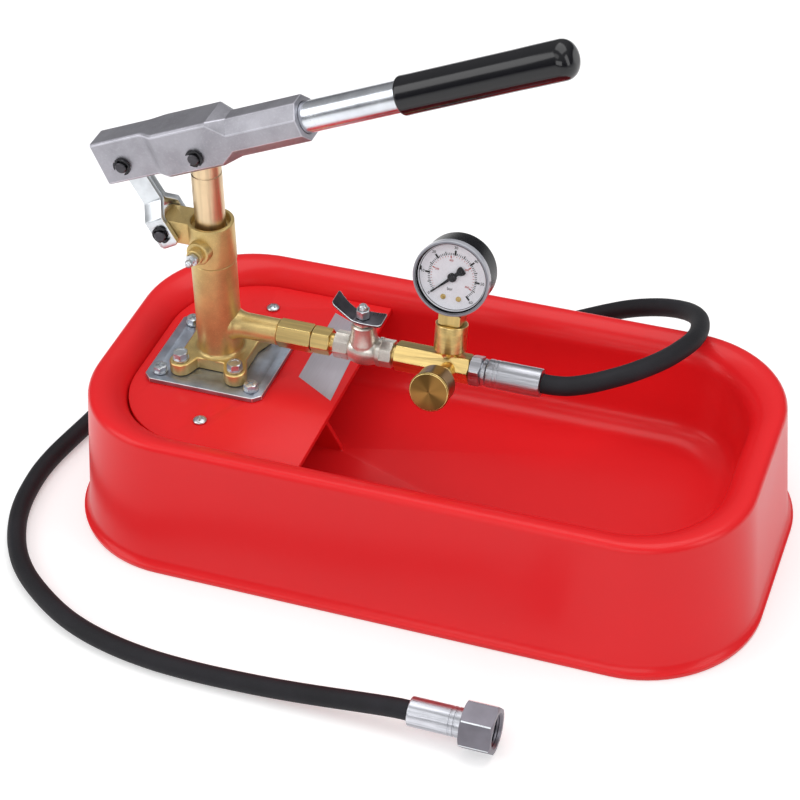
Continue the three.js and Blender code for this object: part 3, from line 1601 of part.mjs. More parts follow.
function swivelNut() {
  const end = tailNutStart + swivelLength;
  const hex = flatted(swivelFlats, tailNutStart, end, swivelChamfer);
  const neckHole = rod(tailNeckRadius + runningGap, tailNutStart - cutOverrun, end, smallSides);
  const bore = rod(swivelBoreRadius, tailNutStart + swivelBackWall, end + cutOverrun, roundSides);
  return cut(hex, neckHole, bore);
}

add(line, "hose_fitting", hoseFitting(), materials.steel);
add(line, "hose_ferrule", ferrule(ferruleEndX - ferruleStartX), materials.steel).position.z = ferruleStartX;
add(fitted, "hose", hoseTube(), materials.rubber);
const tail = frameAt(fitted, 0, tailY, swivelFlats / 2);
tail.rotation.y = Math.PI / 2;
const tailFerrule = ferrule(tailFerruleLength).rotateX(Math.PI);
add(tail, "tail_ferrule", tailFerrule, materials.steel).position.z = tailStartX + tailFerruleLength;
add(tail, "hose_tail", hoseTail(), materials.steel);
add(tail, "swivel_nut", swivelNut(), materials.zinc);

export default testPump;
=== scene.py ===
"""Builds the visual model of a hand-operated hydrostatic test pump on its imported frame."""
import json
import math

import bmesh
import bpy
from mathutils import Matrix, Vector

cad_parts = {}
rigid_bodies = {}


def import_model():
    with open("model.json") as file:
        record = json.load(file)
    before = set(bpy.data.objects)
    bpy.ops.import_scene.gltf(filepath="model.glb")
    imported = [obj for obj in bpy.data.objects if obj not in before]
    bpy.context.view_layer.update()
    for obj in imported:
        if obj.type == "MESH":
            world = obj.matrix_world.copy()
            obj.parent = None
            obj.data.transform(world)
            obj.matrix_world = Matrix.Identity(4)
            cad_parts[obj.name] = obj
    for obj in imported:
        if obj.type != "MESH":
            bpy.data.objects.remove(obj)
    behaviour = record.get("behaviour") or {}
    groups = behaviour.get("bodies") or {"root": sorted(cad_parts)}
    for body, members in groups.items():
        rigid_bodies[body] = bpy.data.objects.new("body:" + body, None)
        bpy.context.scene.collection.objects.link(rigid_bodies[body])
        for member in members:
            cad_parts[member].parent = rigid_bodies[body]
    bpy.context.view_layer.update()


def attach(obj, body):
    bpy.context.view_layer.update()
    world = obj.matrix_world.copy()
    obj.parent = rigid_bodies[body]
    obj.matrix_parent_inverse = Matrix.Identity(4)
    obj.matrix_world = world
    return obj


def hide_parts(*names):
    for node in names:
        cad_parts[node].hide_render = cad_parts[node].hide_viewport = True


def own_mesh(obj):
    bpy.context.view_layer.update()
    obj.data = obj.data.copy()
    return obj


bl_info = {
    "name": "Hydrostatic Test Pump",
    "version": (1, 0, 0),
    "blender": (4, 5, 0),
    "location": "3D View > Sidebar > Test Pump",
    "description": "Models the plunger pump, its tank, gauge line and hose piece by piece",
    "category": "Object",
}

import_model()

# Lengths are in metres, angles in degrees
WELD = 0.000002
OVERRUN = 0.002
SEAT_GAP = 0.0003
RUNNING_GAP = 0.0003
ROUND_SIDES = 96
FINE_SIDES = 64
SMALL_SIDES = 40
SMOOTH_DEGREES = 32
DRILL_DEGREES = 2.3
CHAMFER_DEGREES = 30
SHORT_EDGE = 0.00002
CORNER_STEPS = 20

# Frames that the pieces are modelled in
PUMP_X = -0.121
LINE_Z = 0.0974
PIVOT_Z = 0.207
LUG_X = -0.144
LUG_Z = 0.1554
FORK_X = -0.0457
FORK_Z = 0.0024
TAIL_Y = -0.1625
TAIL_Z = 0.0125
VALVE_X = -0.0385


def turned_about(axis, degrees):
    return Matrix.Rotation(math.radians(degrees), 4, axis)


def moved(x=0.0, y=0.0, z=0.0):
    return Matrix.Translation((x, y, z))


ALONG_X = turned_about("Y", 90)
TO_READER = turned_about("X", 90)
LEVER_DEGREES = 23
BLOCK_DEGREES = 15
PUMP = moved(PUMP_X)
LEVER = moved(PUMP_X, 0, PIVOT_Z) @ turned_about("Y", -LEVER_DEGREES)
FORK = LEVER @ moved(FORK_X, 0, FORK_Z)
LUG = moved(LUG_X, 0, LUG_Z)
LINKS_REACH = FORK.translation - LUG.translation
LINK_LENGTH = LINKS_REACH.length
LINKS = LUG @ Matrix.Rotation(math.atan2(LINKS_REACH.x, LINKS_REACH.z), 4, "Y")
LINE = moved(0, 0, LINE_Z) @ ALONG_X
VALVE_TOP = moved(VALVE_X, 0, LINE_Z)
MANIFOLD = moved(0, 0, LINE_Z) @ turned_about("X", -BLOCK_DEGREES)
TAIL = moved(0, TAIL_Y, TAIL_Z) @ ALONG_X


def length(name, description, default):
    return bpy.props.FloatProperty(
        name=name, description=description, default=default, min=0.0, unit="LENGTH", precision=4
    )


def colour(name, description, default):
    return bpy.props.FloatVectorProperty(
        name=name, description=description, default=default, size=3, min=0.0, max=1.0, subtype="COLOR"
    )


class TestPumpTankSizes(bpy.types.PropertyGroup):
    """Sizes of the tank and its deck."""

    tank_length: length("Tank length", "Length over the foot", 0.375)
    tank_width: length("Tank width", "Width over the foot", 0.1974)
    tank_height: length("Tank height", "Height of the rim", 0.0803)
    corner_radius: length("Corner radius", "Radius of the foot's corners", 0.064)
    wall: length("Wall", "Thickness of the shell", 0.003)
    basin_floor: length("Basin floor", "Height of the basin's floor", 0.025)
    deck_top: length("Deck top", "Height of the deck's upper face", 0.0706)
    plate_thickness: length("Plate thickness", "Thickness of the zinc plate", 0.0027)


class TestPumpWorksSizes(bpy.types.PropertyGroup):
    """Sizes of the pump, its lever and the delivery line."""

    rod_radius: length("Plunger radius", "Radius of the plunger rod", 0.008)
    barrel_radius: length("Barrel radius", "Radius of the pump barrel", 0.012)
    barrel_top: length("Barrel top", "Height of the barrel's joint with the head", 0.138)
    head_radius: length("Head radius", "Radius of the cylinder head", 0.0124)
    head_height: length("Head height", "Height of the cylinder head", 0.024)
    tube_radius: length("Handle radius", "Radius of the handle tube", 0.008)
    grip_start: length("Grip start", "Distance from the pivot to the grip", 0.117)
    grip_end: length("Grip end", "Distance from the pivot to the grip's end", 0.21)
    gauge_radius: length("Gauge radius", "Radius of the gauge's case", 0.0196)
    bezel_radius: length("Bezel radius", "Radius of the gauge's window rim", 0.0204)
    knob_radius: length("Knob radius", "Radius of the vent knob's disc", 0.0106)


class TestPumpHoseSizes(bpy.types.PropertyGroup):
    """Sizes of the hose and its fittings."""

    hose_radius: length("Hose radius", "Radius of the hose", 0.0051)
    ferrule_radius: length("Ferrule radius", "Radius of the crimped ferrules", 0.0075)
    nut_flats: length("Nut flats", "Width of the swivel nut across its flats", 0.0225)
    nut_length: length("Nut length", "Length of the swivel nut", 0.0165)


class TestPumpColours(bpy.types.PropertyGroup):
    """Colours of the finishes."""

    tank_red: colour("Tank red", "Moulded tank", (0.80, 0.014, 0.018))
    deck_red: colour("Deck red", "Moulded deck", (0.80, 0.014, 0.017))
    brass_cast: colour("Cast brass", "Blasted castings", (0.69, 0.51, 0.21))
    brass_bright: colour("Bright brass", "Turned and milled brass", (0.82, 0.60, 0.24))
    zinc: colour("Zinc", "Bright zinc plating", (0.66, 0.69, 0.72))
    plate_zinc: colour("Plate zinc", "Bluish zinc plating on sheet", (0.37, 0.41, 0.48))
    nickel: colour("Nickel", "Nickel plating", (0.70, 0.66, 0.60))
    aluminium: colour("Cast aluminium", "Lever head", (0.42, 0.415, 0.455))
    rubber: colour("Rubber", "Hose", (0.0075, 0.007, 0.0095))
    vinyl: colour("Grip vinyl", "Dipped grip", (0.004, 0.004, 0.0055))
    dial_white: colour("Dial white", "Gauge dial", (0.90, 0.90, 0.96))
    scale_red: colour("Scale red", "Inner scale of the dial", (0.52, 0.05, 0.04))


# Modelling helpers


def pick(*pieces):
    """Selects these pieces alone and makes the first of them active."""
    bpy.ops.object.select_all(action="DESELECT")
    for piece in pieces:
        piece.select_set(True)
    bpy.context.view_layer.objects.active = pieces[0]


def end_edit():
    bpy.ops.object.mode_set(mode="OBJECT")


def named(name):
    piece = bpy.context.active_object
    piece.name = name
    piece.data.name = name
    return piece


def new_point(name):
    """One vertex at the origin, in edit mode: where a drawn outline starts."""
    bpy.ops.object.select_all(action="DESELECT")
    bpy.ops.mesh.primitive_plane_add(size=WELD)
    piece = named(name)
    bpy.ops.object.mode_set(mode="EDIT")
    bpy.ops.mesh.select_all(action="SELECT")
    bpy.ops.mesh.merge(type="CENTER")
    return piece


def draw_on(points, pen=(0.0, 0.0, 0.0)):
    """In edit mode: moves the selected vertex to the first point and extrudes it on to each next one."""
    spots = [Vector(point) for point in points]
    bpy.ops.transform.translate(value=spots[0] - Vector(pen))
    for here, there in zip(spots, spots[1:]):
        bpy.ops.mesh.extrude_vertices_move(TRANSFORM_OT_translate={"value": there - here})


def tidy_normals():
    bpy.ops.mesh.select_all(action="SELECT")
    bpy.ops.mesh.remove_doubles(threshold=WELD)
    bpy.ops.mesh.delete_loose()
    bpy.ops.mesh.select_all(action="SELECT")
    bpy.ops.mesh.normals_make_consistent(inside=False)


def turned(name, profile, sides=FINE_SIDES):
    """A piece turned on a lathe: a drawn profile of (radius, height) points, spun round Z."""
    piece = new_point(name)
    draw_on([(radius, 0.0, height) for radius, height in profile])
    bpy.ops.mesh.select_all(action="SELECT")
    bpy.ops.mesh.spin(steps=sides, angle=math.tau, center=(0, 0, 0), axis=(0, 0, 1))
    tidy_normals()
    end_edit()
    return piece


def bar(name, radius, bottom, top, sides=FINE_SIDES):
    bpy.ops.object.select_all(action="DESELECT")
    middle = (0, 0, (bottom + top) / 2)
    bpy.ops.mesh.primitive_cylinder_add(vertices=sides, radius=radius, depth=top - bottom, location=middle)
    piece = named(name)
    bpy.ops.object.transform_apply()
    return piece


def box(name, low, high):
    low, high = Vector(low), Vector(high)
    bpy.ops.object.select_all(action="DESELECT")
    bpy.ops.mesh.primitive_cube_add(size=1, location=(low + high) / 2)
    piece = named(name)
    piece.scale = high - low
    bpy.ops.object.transform_apply()
    return piece


def prism(name, outline, bottom, top):
    """A drawn outline in XY, filled and extruded from one height to another."""
    piece = new_point(name)
    draw_on([(x, y, bottom) for x, y in [*outline, outline[0]]])
    bpy.ops.mesh.select_all(action="SELECT")
    bpy.ops.mesh.remove_doubles(threshold=WELD)
    bpy.ops.mesh.edge_face_add()
    bpy.ops.mesh.extrude_region_move(TRANSFORM_OT_translate={"value": (0, 0, top - bottom)})
    tidy_normals()
    end_edit()
    return piece


def slab(name, outline, half_width):
    """A drawn outline in XZ, as wide each way along Y as its half-width."""
    return put(prism(name, outline, -half_width, half_width), TO_READER)


def skinned(name, rings):
    """A skin over drawn rings of equally many points, closed at both ends."""
    piece = new_point(name)
    pen = (0.0, 0.0, 0.0)
    for ring in rings:
        if ring is not rings[0]:
            bpy.ops.mesh.select_all(action="DESELECT")
            bpy.ops.mesh.primitive_plane_add(size=WELD)
            bpy.ops.mesh.merge(type="CENTER")
        draw_on([*ring, ring[0]], pen)
        bpy.ops.mesh.select_linked(delimit=set())
        bpy.ops.mesh.remove_doubles(threshold=WELD)
    bridge_rings(len(rings[0]), len(rings))
    end_edit()
    return piece


def bridge_rings(count, number):
    """In edit mode: joins each ring of edges to the next and fills the first and the last."""
    mesh = bmesh.from_edit_mesh(bpy.context.active_object.data)
    bpy.ops.mesh.select_mode(type="EDGE")
    layer = mesh.verts.layers.int.new("ring")
    mesh.verts.ensure_lookup_table()
    for index, vertex in enumerate(mesh.verts):
        vertex[layer] = index // count
    pairs = [{ring, ring + 1} for ring in range(number - 1)]
    for wanted in [*pairs, {0}, {number - 1}]:
        bpy.ops.mesh.select_all(action="DESELECT")
        mesh = bmesh.from_edit_mesh(bpy.context.active_object.data)
        layer = mesh.verts.layers.int["ring"]
        for edge in mesh.edges:
            low, high = sorted(vertex[layer] for vertex in edge.verts)
            edge.select_set(low == high and low in wanted)
        if len(wanted) == 2:
            bpy.ops.mesh.bridge_edge_loops()
        else:
            bpy.ops.mesh.edge_face_add()
    mesh = bmesh.from_edit_mesh(bpy.context.active_object.data)
    mesh.verts.layers.int.remove(mesh.verts.layers.int["ring"])
    bpy.ops.mesh.select_mode(type="VERT")
    tidy_normals()


def drill(radius, bottom, top, sides=SMALL_SIDES):
    """A bar to cut with, turned a little so that its edges meet no others."""
    return put(bar("drill", radius, bottom, top, sides), turned_about("Z", DRILL_DEGREES))


def bored(piece, radius, bottom, top, sides=SMALL_SIDES):
    return cut(piece, drill(radius, bottom, top, sides))


def put(piece, place):
    """Moves a piece to its place and leaves its object at the origin."""
    pick(piece)
    piece.matrix_world = place @ piece.matrix_world
    bpy.ops.object.transform_apply()
    return piece


def apply_modifier(piece, kind, **settings):
    pick(piece)
    bpy.ops.object.modifier_add(type=kind)
    modifier = piece.modifiers[-1]
    for name, value in settings.items():
        setattr(modifier, name, value)
    bpy.ops.object.modifier_apply(modifier=modifier.name)
    return piece


def combined(piece, others, operation):
    for other in others:
        apply_modifier(piece, "BOOLEAN", operation=operation, object=other, solver="EXACT")
        bpy.data.meshes.remove(other.data)
    return piece


def cut(piece, *tools):
    return combined(piece, tools, "DIFFERENCE")


def joined(piece, *others):
    return combined(piece, others, "UNION")


def shared(piece, other):
    return combined(piece, [other], "INTERSECT")


def softened(piece, width, segments=2, degrees=30, worn=False):
    """Rounds the sharp edges; with worn the rounded edges take the piece's second, lighter finish, a
    painted highlight along them.
    """
    while worn and len(piece.data.materials) < 2:
        piece.data.materials.append(None)
    apply_modifier(piece, "WELD", merge_threshold=SHORT_EDGE)
    apply_modifier(
        piece,
        "BEVEL",
        width=width,
        segments=segments,
        limit_method="ANGLE",
        angle_limit=math.radians(degrees),
        use_clamp_overlap=False,
        # The bevel's faces take the lighter second finish: a painted edge highlight.
        material=1 if worn else -1,
    )
    return piece


def copy_of(piece, name):
    twin = piece.copy()
    twin.data = piece.data.copy()
    twin.name = name
    twin.data.name = name
    bpy.context.collection.objects.link(twin)
    return twin


def hexagon(name, flats, bottom, top, chamfer, sides=6, rounding=0.00025, worn=False):
    """A bar across its flats: its long edges are rounded and its end corners turned off."""
    corner = flats / 2 / math.cos(math.pi / sides)
    piece = bar(name, corner, bottom - OVERRUN, top + OVERRUN, sides)
    put(piece, turned_about("Z", 180 / sides - 90 + DRILL_DEGREES))
    # Its rounded long edges can take the lighter second finish, a painted edge highlight.
    softened(piece, rounding, 3, 20, worn)
    slope = 2 * chamfer * math.tan(math.radians(CHAMFER_DEGREES))
    turning = [
        (0, bottom),
        (corner - chamfer, bottom),
        (corner + chamfer, bottom + slope),
        (corner + chamfer, top - slope),
        (corner - chamfer, top),
        (0, top),
    ]
    shared(piece, turned(name + "_turning", turning, ROUND_SIDES))
    return put(piece, turned_about("Z", -DRILL_DEGREES))


def arc(centre_x, centre_y, radius, start, stop, steps):
    points = []
    for step in range(steps + 1):
        angle = math.radians(start + (stop - start) * step / steps)
        points.append((centre_x + radius * math.cos(angle), centre_y + radius * math.sin(angle)))
    return points


def round_edge(radius, top, edge, steps=4):
    """The rounded outer edge of a turned piece's top."""
    return arc(radius - edge, top - edge, edge, 0, 90, steps)


def eased(share):
    """A share from 0 to 1 that starts and ends gently."""
    return share * share * (3 - 2 * share)


def curve(first, middle, last, steps):
    """Points of a quadratic curve in a plane."""
    start, bend, stop = Vector(first), Vector(middle), Vector(last)
    shares = [step / steps for step in range(steps + 1)]
    return [tuple(start.lerp(bend, share).lerp(bend.lerp(stop, share), share)) for share in shares]


def four_corners(spacing_x, spacing_y):
    half_x, half_y = spacing_x / 2, spacing_y / 2
    return {
        "front_left": (-half_x, -half_y),
        "front_right": (half_x, -half_y),
        "rear_right": (half_x, half_y),
        "rear_left": (-half_x, half_y),
    }


def corner_drills(spacing, radius, bottom, top, place=Matrix()):
    """A drill for each of four bolts."""
    spots = four_corners(*spacing).values()
    return [put(drill(radius, bottom, top), place @ moved(x, y)) for x, y in spots]


def finished(piece, body, slot, *finishes, node=None, smooth=SMOOTH_DEGREES):
    """Smooths a piece, gives it its finishes, lets it ride on its body and stand for its CAD node."""
    pick(piece)
    if piece.type == "MESH":
        bpy.ops.object.shade_smooth_by_angle(angle=math.radians(smooth))
    for number, name in enumerate(finishes):
        if number < len(piece.data.materials):
            piece.data.materials[number] = FINISHES[name]
        else:
            piece.data.materials.append(FINISHES[name])
    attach(piece, body)
    if node:
        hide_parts(node)
    return piece


# Finishes


class Reading:
    """A socket of a material's node tree that sums are written with, as with a number."""

    def __init__(self, finish, socket):
        self.finish = finish
        self.socket = socket

    def worked(self, operation, *values):
        return self.finish.node("ShaderNodeMath", {"operation": operation}, dict(enumerate(values)))

    def __add__(self, other):
        return self.worked("ADD", self, other)

    __radd__ = __add__

    def __mul__(self, other):
        return self.worked("MULTIPLY", self, other)

    __rmul__ = __mul__

    def __sub__(self, other):
        return self.worked("SUBTRACT", self, other)

    def __rsub__(self, other):
        return self.worked("SUBTRACT", other, self)

    def stepped(self, start, stop):
        """0 below the start, 1 above the stop, smooth between them."""
        settings = {"interpolation_type": "SMOOTHSTEP"}
        inputs = {"Value": self, "From Min": start, "From Max": stop}
        return self.finish.node("ShaderNodeMapRange", settings, inputs)


class Finish:
    """A material that is put together node by node on its Principled shader."""

    def __init__(self, name, constants=None):
        self.material = bpy.data.materials.new(name)
        self.material.use_nodes = True
        self.tree = self.material.node_tree
        self.shader = self.tree.nodes["Principled BSDF"]
        for socket, value in (constants or {}).items():
            self.feed(socket, value)

    def node(self, kind, settings=None, inputs=None, output=0):
        node = self.tree.nodes.new(kind)
        for name, value in (settings or {}).items():
            setattr(node, name, value)
        for name, value in (inputs or {}).items():
            self.connect(node.inputs[name], value)
        return Reading(self, node.outputs[output])

    def connect(self, socket, value):
        if isinstance(value, Reading):
            self.tree.links.new(value.socket, socket)
        else:
            socket.default_value = value

    def feed(self, socket, value):
        if socket == "Base Color" and not isinstance(value, Reading):
            value = (*value[:3], 1.0)
        self.connect(self.shader.inputs[socket], value)

    def place(self, frame_matrix=None, stretch=(1, 1, 1)):
        """The piece's own coordinates, or those of a frame it was modelled in."""
        spot = self.node("ShaderNodeTexCoord", output="Object")
        if frame_matrix is not None:
            inputs = {
                "Vector": spot,
                "Location": frame_matrix.to_translation(),
                "Rotation": frame_matrix.to_euler(),
            }
            spot = self.node("ShaderNodeMapping", {"vector_type": "TEXTURE"}, inputs)
        if stretch != (1, 1, 1):
            spot = self.node("ShaderNodeMapping", None, {"Vector": spot, "Scale": stretch})
        return spot

    def axis(self, spot, letter):
        return self.node("ShaderNodeSeparateXYZ", None, {"Vector": spot}, output=letter)

    def noise(self, scale, detail=3.0, roughness=0.55, spot=None):
        inputs = {"Vector": spot or self.place(), "Scale": scale, "Detail": detail, "Roughness": roughness}
        return self.node("ShaderNodeTexNoise", None, inputs)

    def grains(self, scale, spot=None):
        return self.node("ShaderNodeTexVoronoi", None, {"Vector": spot or self.place(), "Scale": scale})

    def mixed(self, share, first, second):
        colours = [value if isinstance(value, Reading) else (*value[:3], 1.0) for value in (first, second)]
        inputs = {0: share, 6: colours[0], 7: colours[1]}
        return self.node("ShaderNodeMix", {"data_type": "RGBA"}, inputs, output=2)

    def relief(self, height, distance, strength=1.0):
        inputs = {"Height": height, "Distance": distance, "Strength": strength}
        self.feed("Normal", self.node("ShaderNodeBump", None, inputs))


def shade(colour_value, factor):
    return tuple(min(part * factor, 1.0) for part in colour_value)


def moulded_red(name, red, gloss):
    """Glossy moulded plastic: faint flow marks, a fine skin and a little dust."""
    finish = Finish(name, {"Specular IOR Level": 0.22, "Coat Weight": 0.16, "Coat Roughness": 0.16})
    flow = finish.noise(14, 4)
    dust = finish.noise(900, 2).stepped(0.68, 0.80)
    body = finish.mixed(flow, shade(red, 0.96), shade(red, 1.04))
    finish.feed("Base Color", finish.mixed(dust * 0.05, body, (0.75, 0.45, 0.42)))
    finish.feed("Roughness", gloss + flow * 0.10 + dust * 0.05)
    finish.relief(finish.noise(420, 3) + flow * 4, 0.00003, 0.4)
    return finish.material


def cast_metal(name, base, dark, rough, grain=1500, depth=0.00007, metallic=1.0):
    """A blasted casting: a fine grain, cloudy stains and bright rubbed spots."""
    finish = Finish(name, {"Metallic": metallic})
    cloud = finish.noise(55, 4)
    speck = finish.noise(grain, 3)
    stained = finish.mixed(cloud.stepped(0.35, 0.75), base, dark)
    finish.feed("Base Color", finish.mixed(speck.stepped(0.45, 0.8) * 0.4, stained, shade(base, 1.25)))
    finish.feed("Roughness", rough + cloud * 0.12 + speck * 0.08)
    finish.relief(speck + finish.grains(grain * 0.6) * 0.5, depth, 0.6)
    return finish.material


def plated(name, base, rough, spangle=90, depth=0.00002):
    """Bright plating over steel: a soft spangle and light scratches."""
    finish = Finish(name, {"Metallic": 1.0})
    spangled = finish.noise(spangle, 3)
    scratch = finish.noise(700, 3, 0.7, finish.place(stretch=(1, 0.06, 0.3)))
    dull, bright = shade(base, 0.84), shade(base, 1.12)
    finish.feed("Base Color", finish.mixed(spangled.stepped(0.3, 0.7), dull, bright))
    finish.feed("Roughness", rough + spangled * 0.14 + scratch * 0.10)
    finish.relief(scratch + finish.noise(1300, 2), depth, 0.5)
    return finish.material


def drawn(name, base, rough, place, streak=0.10):
    """Drawn or polished metal: streaks along the frame's Z, light and dark bands along Z that paint
    reflections into the colour, and a thin tarnish.
    """
    finish = Finish(name, {"Metallic": 1.0})
    streaks = finish.noise(1500, 2, 0.5, finish.place(place, (1, 1, 0.03)))
    # Painted reflection: light and dark bands along the axis, as a round polished part shows them.
    bands = finish.noise(420, 3, 0.6, finish.place(place, (1, 1, 0.04)))
    tarnish = finish.noise(75, 4)
    banded = finish.mixed(bands.stepped(0.35, 0.65), shade(base, 1 - 2 * streak), shade(base, 1.08))
    finish.feed("Base Color", finish.mixed(tarnish.stepped(0.35, 0.8) * 0.3, banded, shade(base, 0.6)))
    finish.feed("Roughness", rough + tarnish * 0.10 + streaks * streak)
    finish.relief(streaks, 0.000002, 0.3)
    return finish.material


def faced(name, base, rough, place):
    """Metal turned on a lathe: light fans out from the middle of its face, painted into the colour as a
    sheen of bright and dark fans round the axis.
    """
    finish = Finish(name, {"Metallic": 1.0})
    spot = finish.place(place)
    across, up = finish.axis(spot, "X"), finish.axis(spot, "Y")
    turn = up.worked("ARCTAN2", up, across)
    # Painted sheen: bright and dark fans round the axis stand in for light caught by the turning marks.
    fan = turn.worked("SINE", turn * 2 + 0.4) + turn.worked("SINE", turn * 5 + 2.0) * 0.5
    rings = finish.noise(2600, 2, 0.5, finish.place(place, (0.05, 0.05, 1)))
    finish.feed("Base Color", finish.mixed(fan.stepped(-1.3, 1.3), shade(base, 0.5), shade(base, 1.3)))
    finish.feed("Roughness", rough + rings * 0.12)
    return finish.material


def window_rim(name):
    """Smoky plastic: a pale outer bead, which is a painted highlight, and a darker ring by the window,
    which is painted shade of the dark case seen through it.
    """
    finish = Finish(name, {"Roughness": 0.12, "Coat Weight": 0.5, "Coat Roughness": 0.05})
    spot = finish.place(GAUGE)
    across, up = finish.axis(spot, "X"), finish.axis(spot, "Y")
    square = across * across + up * up
    radius = square.worked("SQRT", square)
    cloud = finish.noise(90, 3)
    # Painted shade: dark inside about 19 mm, by the window.
    ring = finish.mixed(radius.stepped(0.0189, 0.0192), (0.04, 0.042, 0.05), (0.24, 0.25, 0.29))
    # Painted highlight: pale beyond about 20 mm, on the outer bead.
    edge = finish.mixed(radius.stepped(0.0198, 0.0201), ring, (0.50, 0.51, 0.56))
    finish.feed("Base Color", finish.mixed(cloud * 0.3, edge, (0.2, 0.2, 0.24)))
    return finish.material


def blackened(name, base, rough):
    finish = Finish(name, {"Metallic": 0.5})
    worn = finish.noise(260, 4)
    finish.feed("Base Color", finish.mixed(worn.stepped(0.55, 0.8), base, shade(base, 5)))
    finish.feed("Roughness", rough + worn * 0.25)
    finish.relief(finish.noise(1800, 2), 0.00003, 0.5)
    return finish.material


def black_moulding(name, base, rough, skin=500, gloss=0.5, coat=0.2):
    finish = Finish(name, {"Specular IOR Level": gloss, "Coat Weight": coat, "Coat Roughness": 0.15})
    cloud = finish.noise(40, 3)
    finish.feed("Base Color", finish.mixed(cloud, base, shade(base, 1.8)))
    finish.feed("Roughness", rough + cloud * 0.12)
    finish.relief(finish.noise(skin, 3), 0.00003, 0.4)
    return finish.material


def hose_rubber(name, base):
    """Matt rubber cured in wrapped cloth: a fine weave print and grey bloom."""
    finish = Finish(name, {"Specular IOR Level": 0.35})
    bloom = finish.noise(35, 4)
    print_mark = finish.noise(1500, 3)
    finish.feed("Base Color", finish.mixed(bloom.stepped(0.3, 0.8), base, shade(base, 2.0)))
    finish.feed("Roughness", 0.58 + print_mark * 0.2)
    finish.relief(print_mark + finish.grains(900) * 0.6, 0.0001, 0.6)
    return finish.material


def printed(name, base, rough=0.45):
    finish = Finish(name)
    grain = finish.noise(600, 2)
    finish.feed("Base Color", finish.mixed(grain, shade(base, 0.93), shade(base, 1.05)))
    finish.feed("Roughness", rough + grain * 0.1)
    return finish.material


def clear_window(name):
    finish = Finish(name, {"Roughness": 0.04, "IOR": 1.49})
    smear = finish.noise(60, 3)
    finish.feed("Base Color", finish.mixed(smear, (0.03, 0.03, 0.04), (0.07, 0.07, 0.08)))
    finish.feed("Alpha", 0.02 + smear * 0.03)
    return finish.material


def foil_label(name):
    """A bare silver-grey label: brushed foil with a few creases."""
    finish = Finish(name, {"Metallic": 0.35})
    brushed = finish.noise(1200, 3, 0.6, finish.place(stretch=(1, 0.05, 1)))
    crease = finish.noise(90, 2)
    finish.feed("Base Color", finish.mixed(brushed, (0.40, 0.38, 0.43), (0.54, 0.52, 0.57)))
    finish.feed("Roughness", 0.32 + brushed * 0.15)
    finish.relief(crease + brushed * 0.2, 0.00005, 0.5)
    return finish.material


FINISHES = {}


def mix_finishes():
    """Makes every finish once, from the colours in the panel."""
    colours = bpy.context.scene.test_pump_colours
    cast, bright, zinc, nickel = colours.brass_cast, colours.brass_bright, colours.zinc, colours.nickel
    alu = colours.aluminium
    FINISHES.update(
        tank=moulded_red("tank_red", colours.tank_red, 0.26),
        deck=moulded_red("deck_red", colours.deck_red, 0.32),
        zinc=plated("bright_zinc", zinc, 0.20),
        # A lighter zinc for rounded edges: a painted edge highlight.
        zinc_edge=plated("rubbed_zinc_edge", shade(zinc, 1.25), 0.18),
        # The nut's zinc is darkened to paint a dark reflection on its faces.
        nut_zinc=plated("dull_zinc", (0.21, 0.20, 0.23), 0.28, 60),
        plate=plated("bluish_zinc_sheet", colours.plate_zinc, 0.34, 120, 0.00004),
        cast_brass=cast_metal("cast_brass", cast, shade(cast, 0.70), 0.27, metallic=0.74),
        # A lighter brass for rounded edges: a painted edge highlight.
        cast_brass_edge=cast_metal("rubbed_brass_edge", shade(cast, 1.25), cast, 0.24),
        line_brass=drawn("line_brass", bright, 0.20, LINE),
        # A lighter brass for the bars' rounded edges: a painted edge highlight.
        line_brass_edge=drawn("line_brass_edge", shade(bright, 1.2), 0.18, LINE),
        rod_brass=drawn("plunger_brass", (0.74, 0.57, 0.36), 0.26, PUMP, 0.07),
        # The knob's face carries a painted sheen of bright and dark fans.
        knob_brass=faced("knob_brass", (0.27, 0.14, 0.04), 0.28, KNOB),
        # A lighter brass for the knob's chamfer ring: a painted highlight.
        knob_edge=drawn("knob_edge", shade(bright, 1.2), 0.18, KNOB),
        gauge_brass=drawn("gauge_brass", shade(bright, 0.85), 0.22, GAUGE_STEM),
        nickel=cast_metal("blasted_nickel", nickel, shade(nickel, 0.8), 0.20, 1100, 0.00004, 0.82),
        wing=plated("dark_wing_steel", (0.15, 0.14, 0.16), 0.18, 150),
        aluminium=cast_metal("cast_aluminium", alu, shade(alu, 0.80), 0.42, 800, 0.00015),
        # Ground flash along the lever's edges, made lighter still as a painted edge highlight.
        aluminium_edge=cast_metal("ground_aluminium_edge", shade(alu, 1.4), shade(alu, 1.1), 0.36),
        tube=plated("zinc_tube", (0.72, 0.75, 0.80), 0.12, 45),
        fitting=drawn("zinc_fitting", (0.63, 0.64, 0.69), 0.17, LINE, 0.22),
        pin_steel=plated("pin_steel", (0.075, 0.072, 0.08), 0.24, 400),
        black_steel=blackened("black_steel", (0.020, 0.020, 0.023), 0.24),
        vinyl=black_moulding("dipped_vinyl", colours.vinyl, 0.10, 90, 0.4),
        black=black_moulding("black_case", (0.004, 0.004, 0.006), 0.20, 300, 0.14, 0.0),
        bezel=window_rim("smoky_window_rim"),
        dial=printed("dial_enamel", colours.dial_white, 0.4),
        ink=printed("black_ink", (0.012, 0.012, 0.014)),
        red_ink=printed("red_ink", colours.scale_red),
        window=clear_window("gauge_window"),
        seal=printed("seal_plastic", (0.74, 0.71, 0.64)),
        rubber=hose_rubber("hose_rubber", colours.rubber),
        label=foil_label("bare_label"),
    )


# Tank and deck

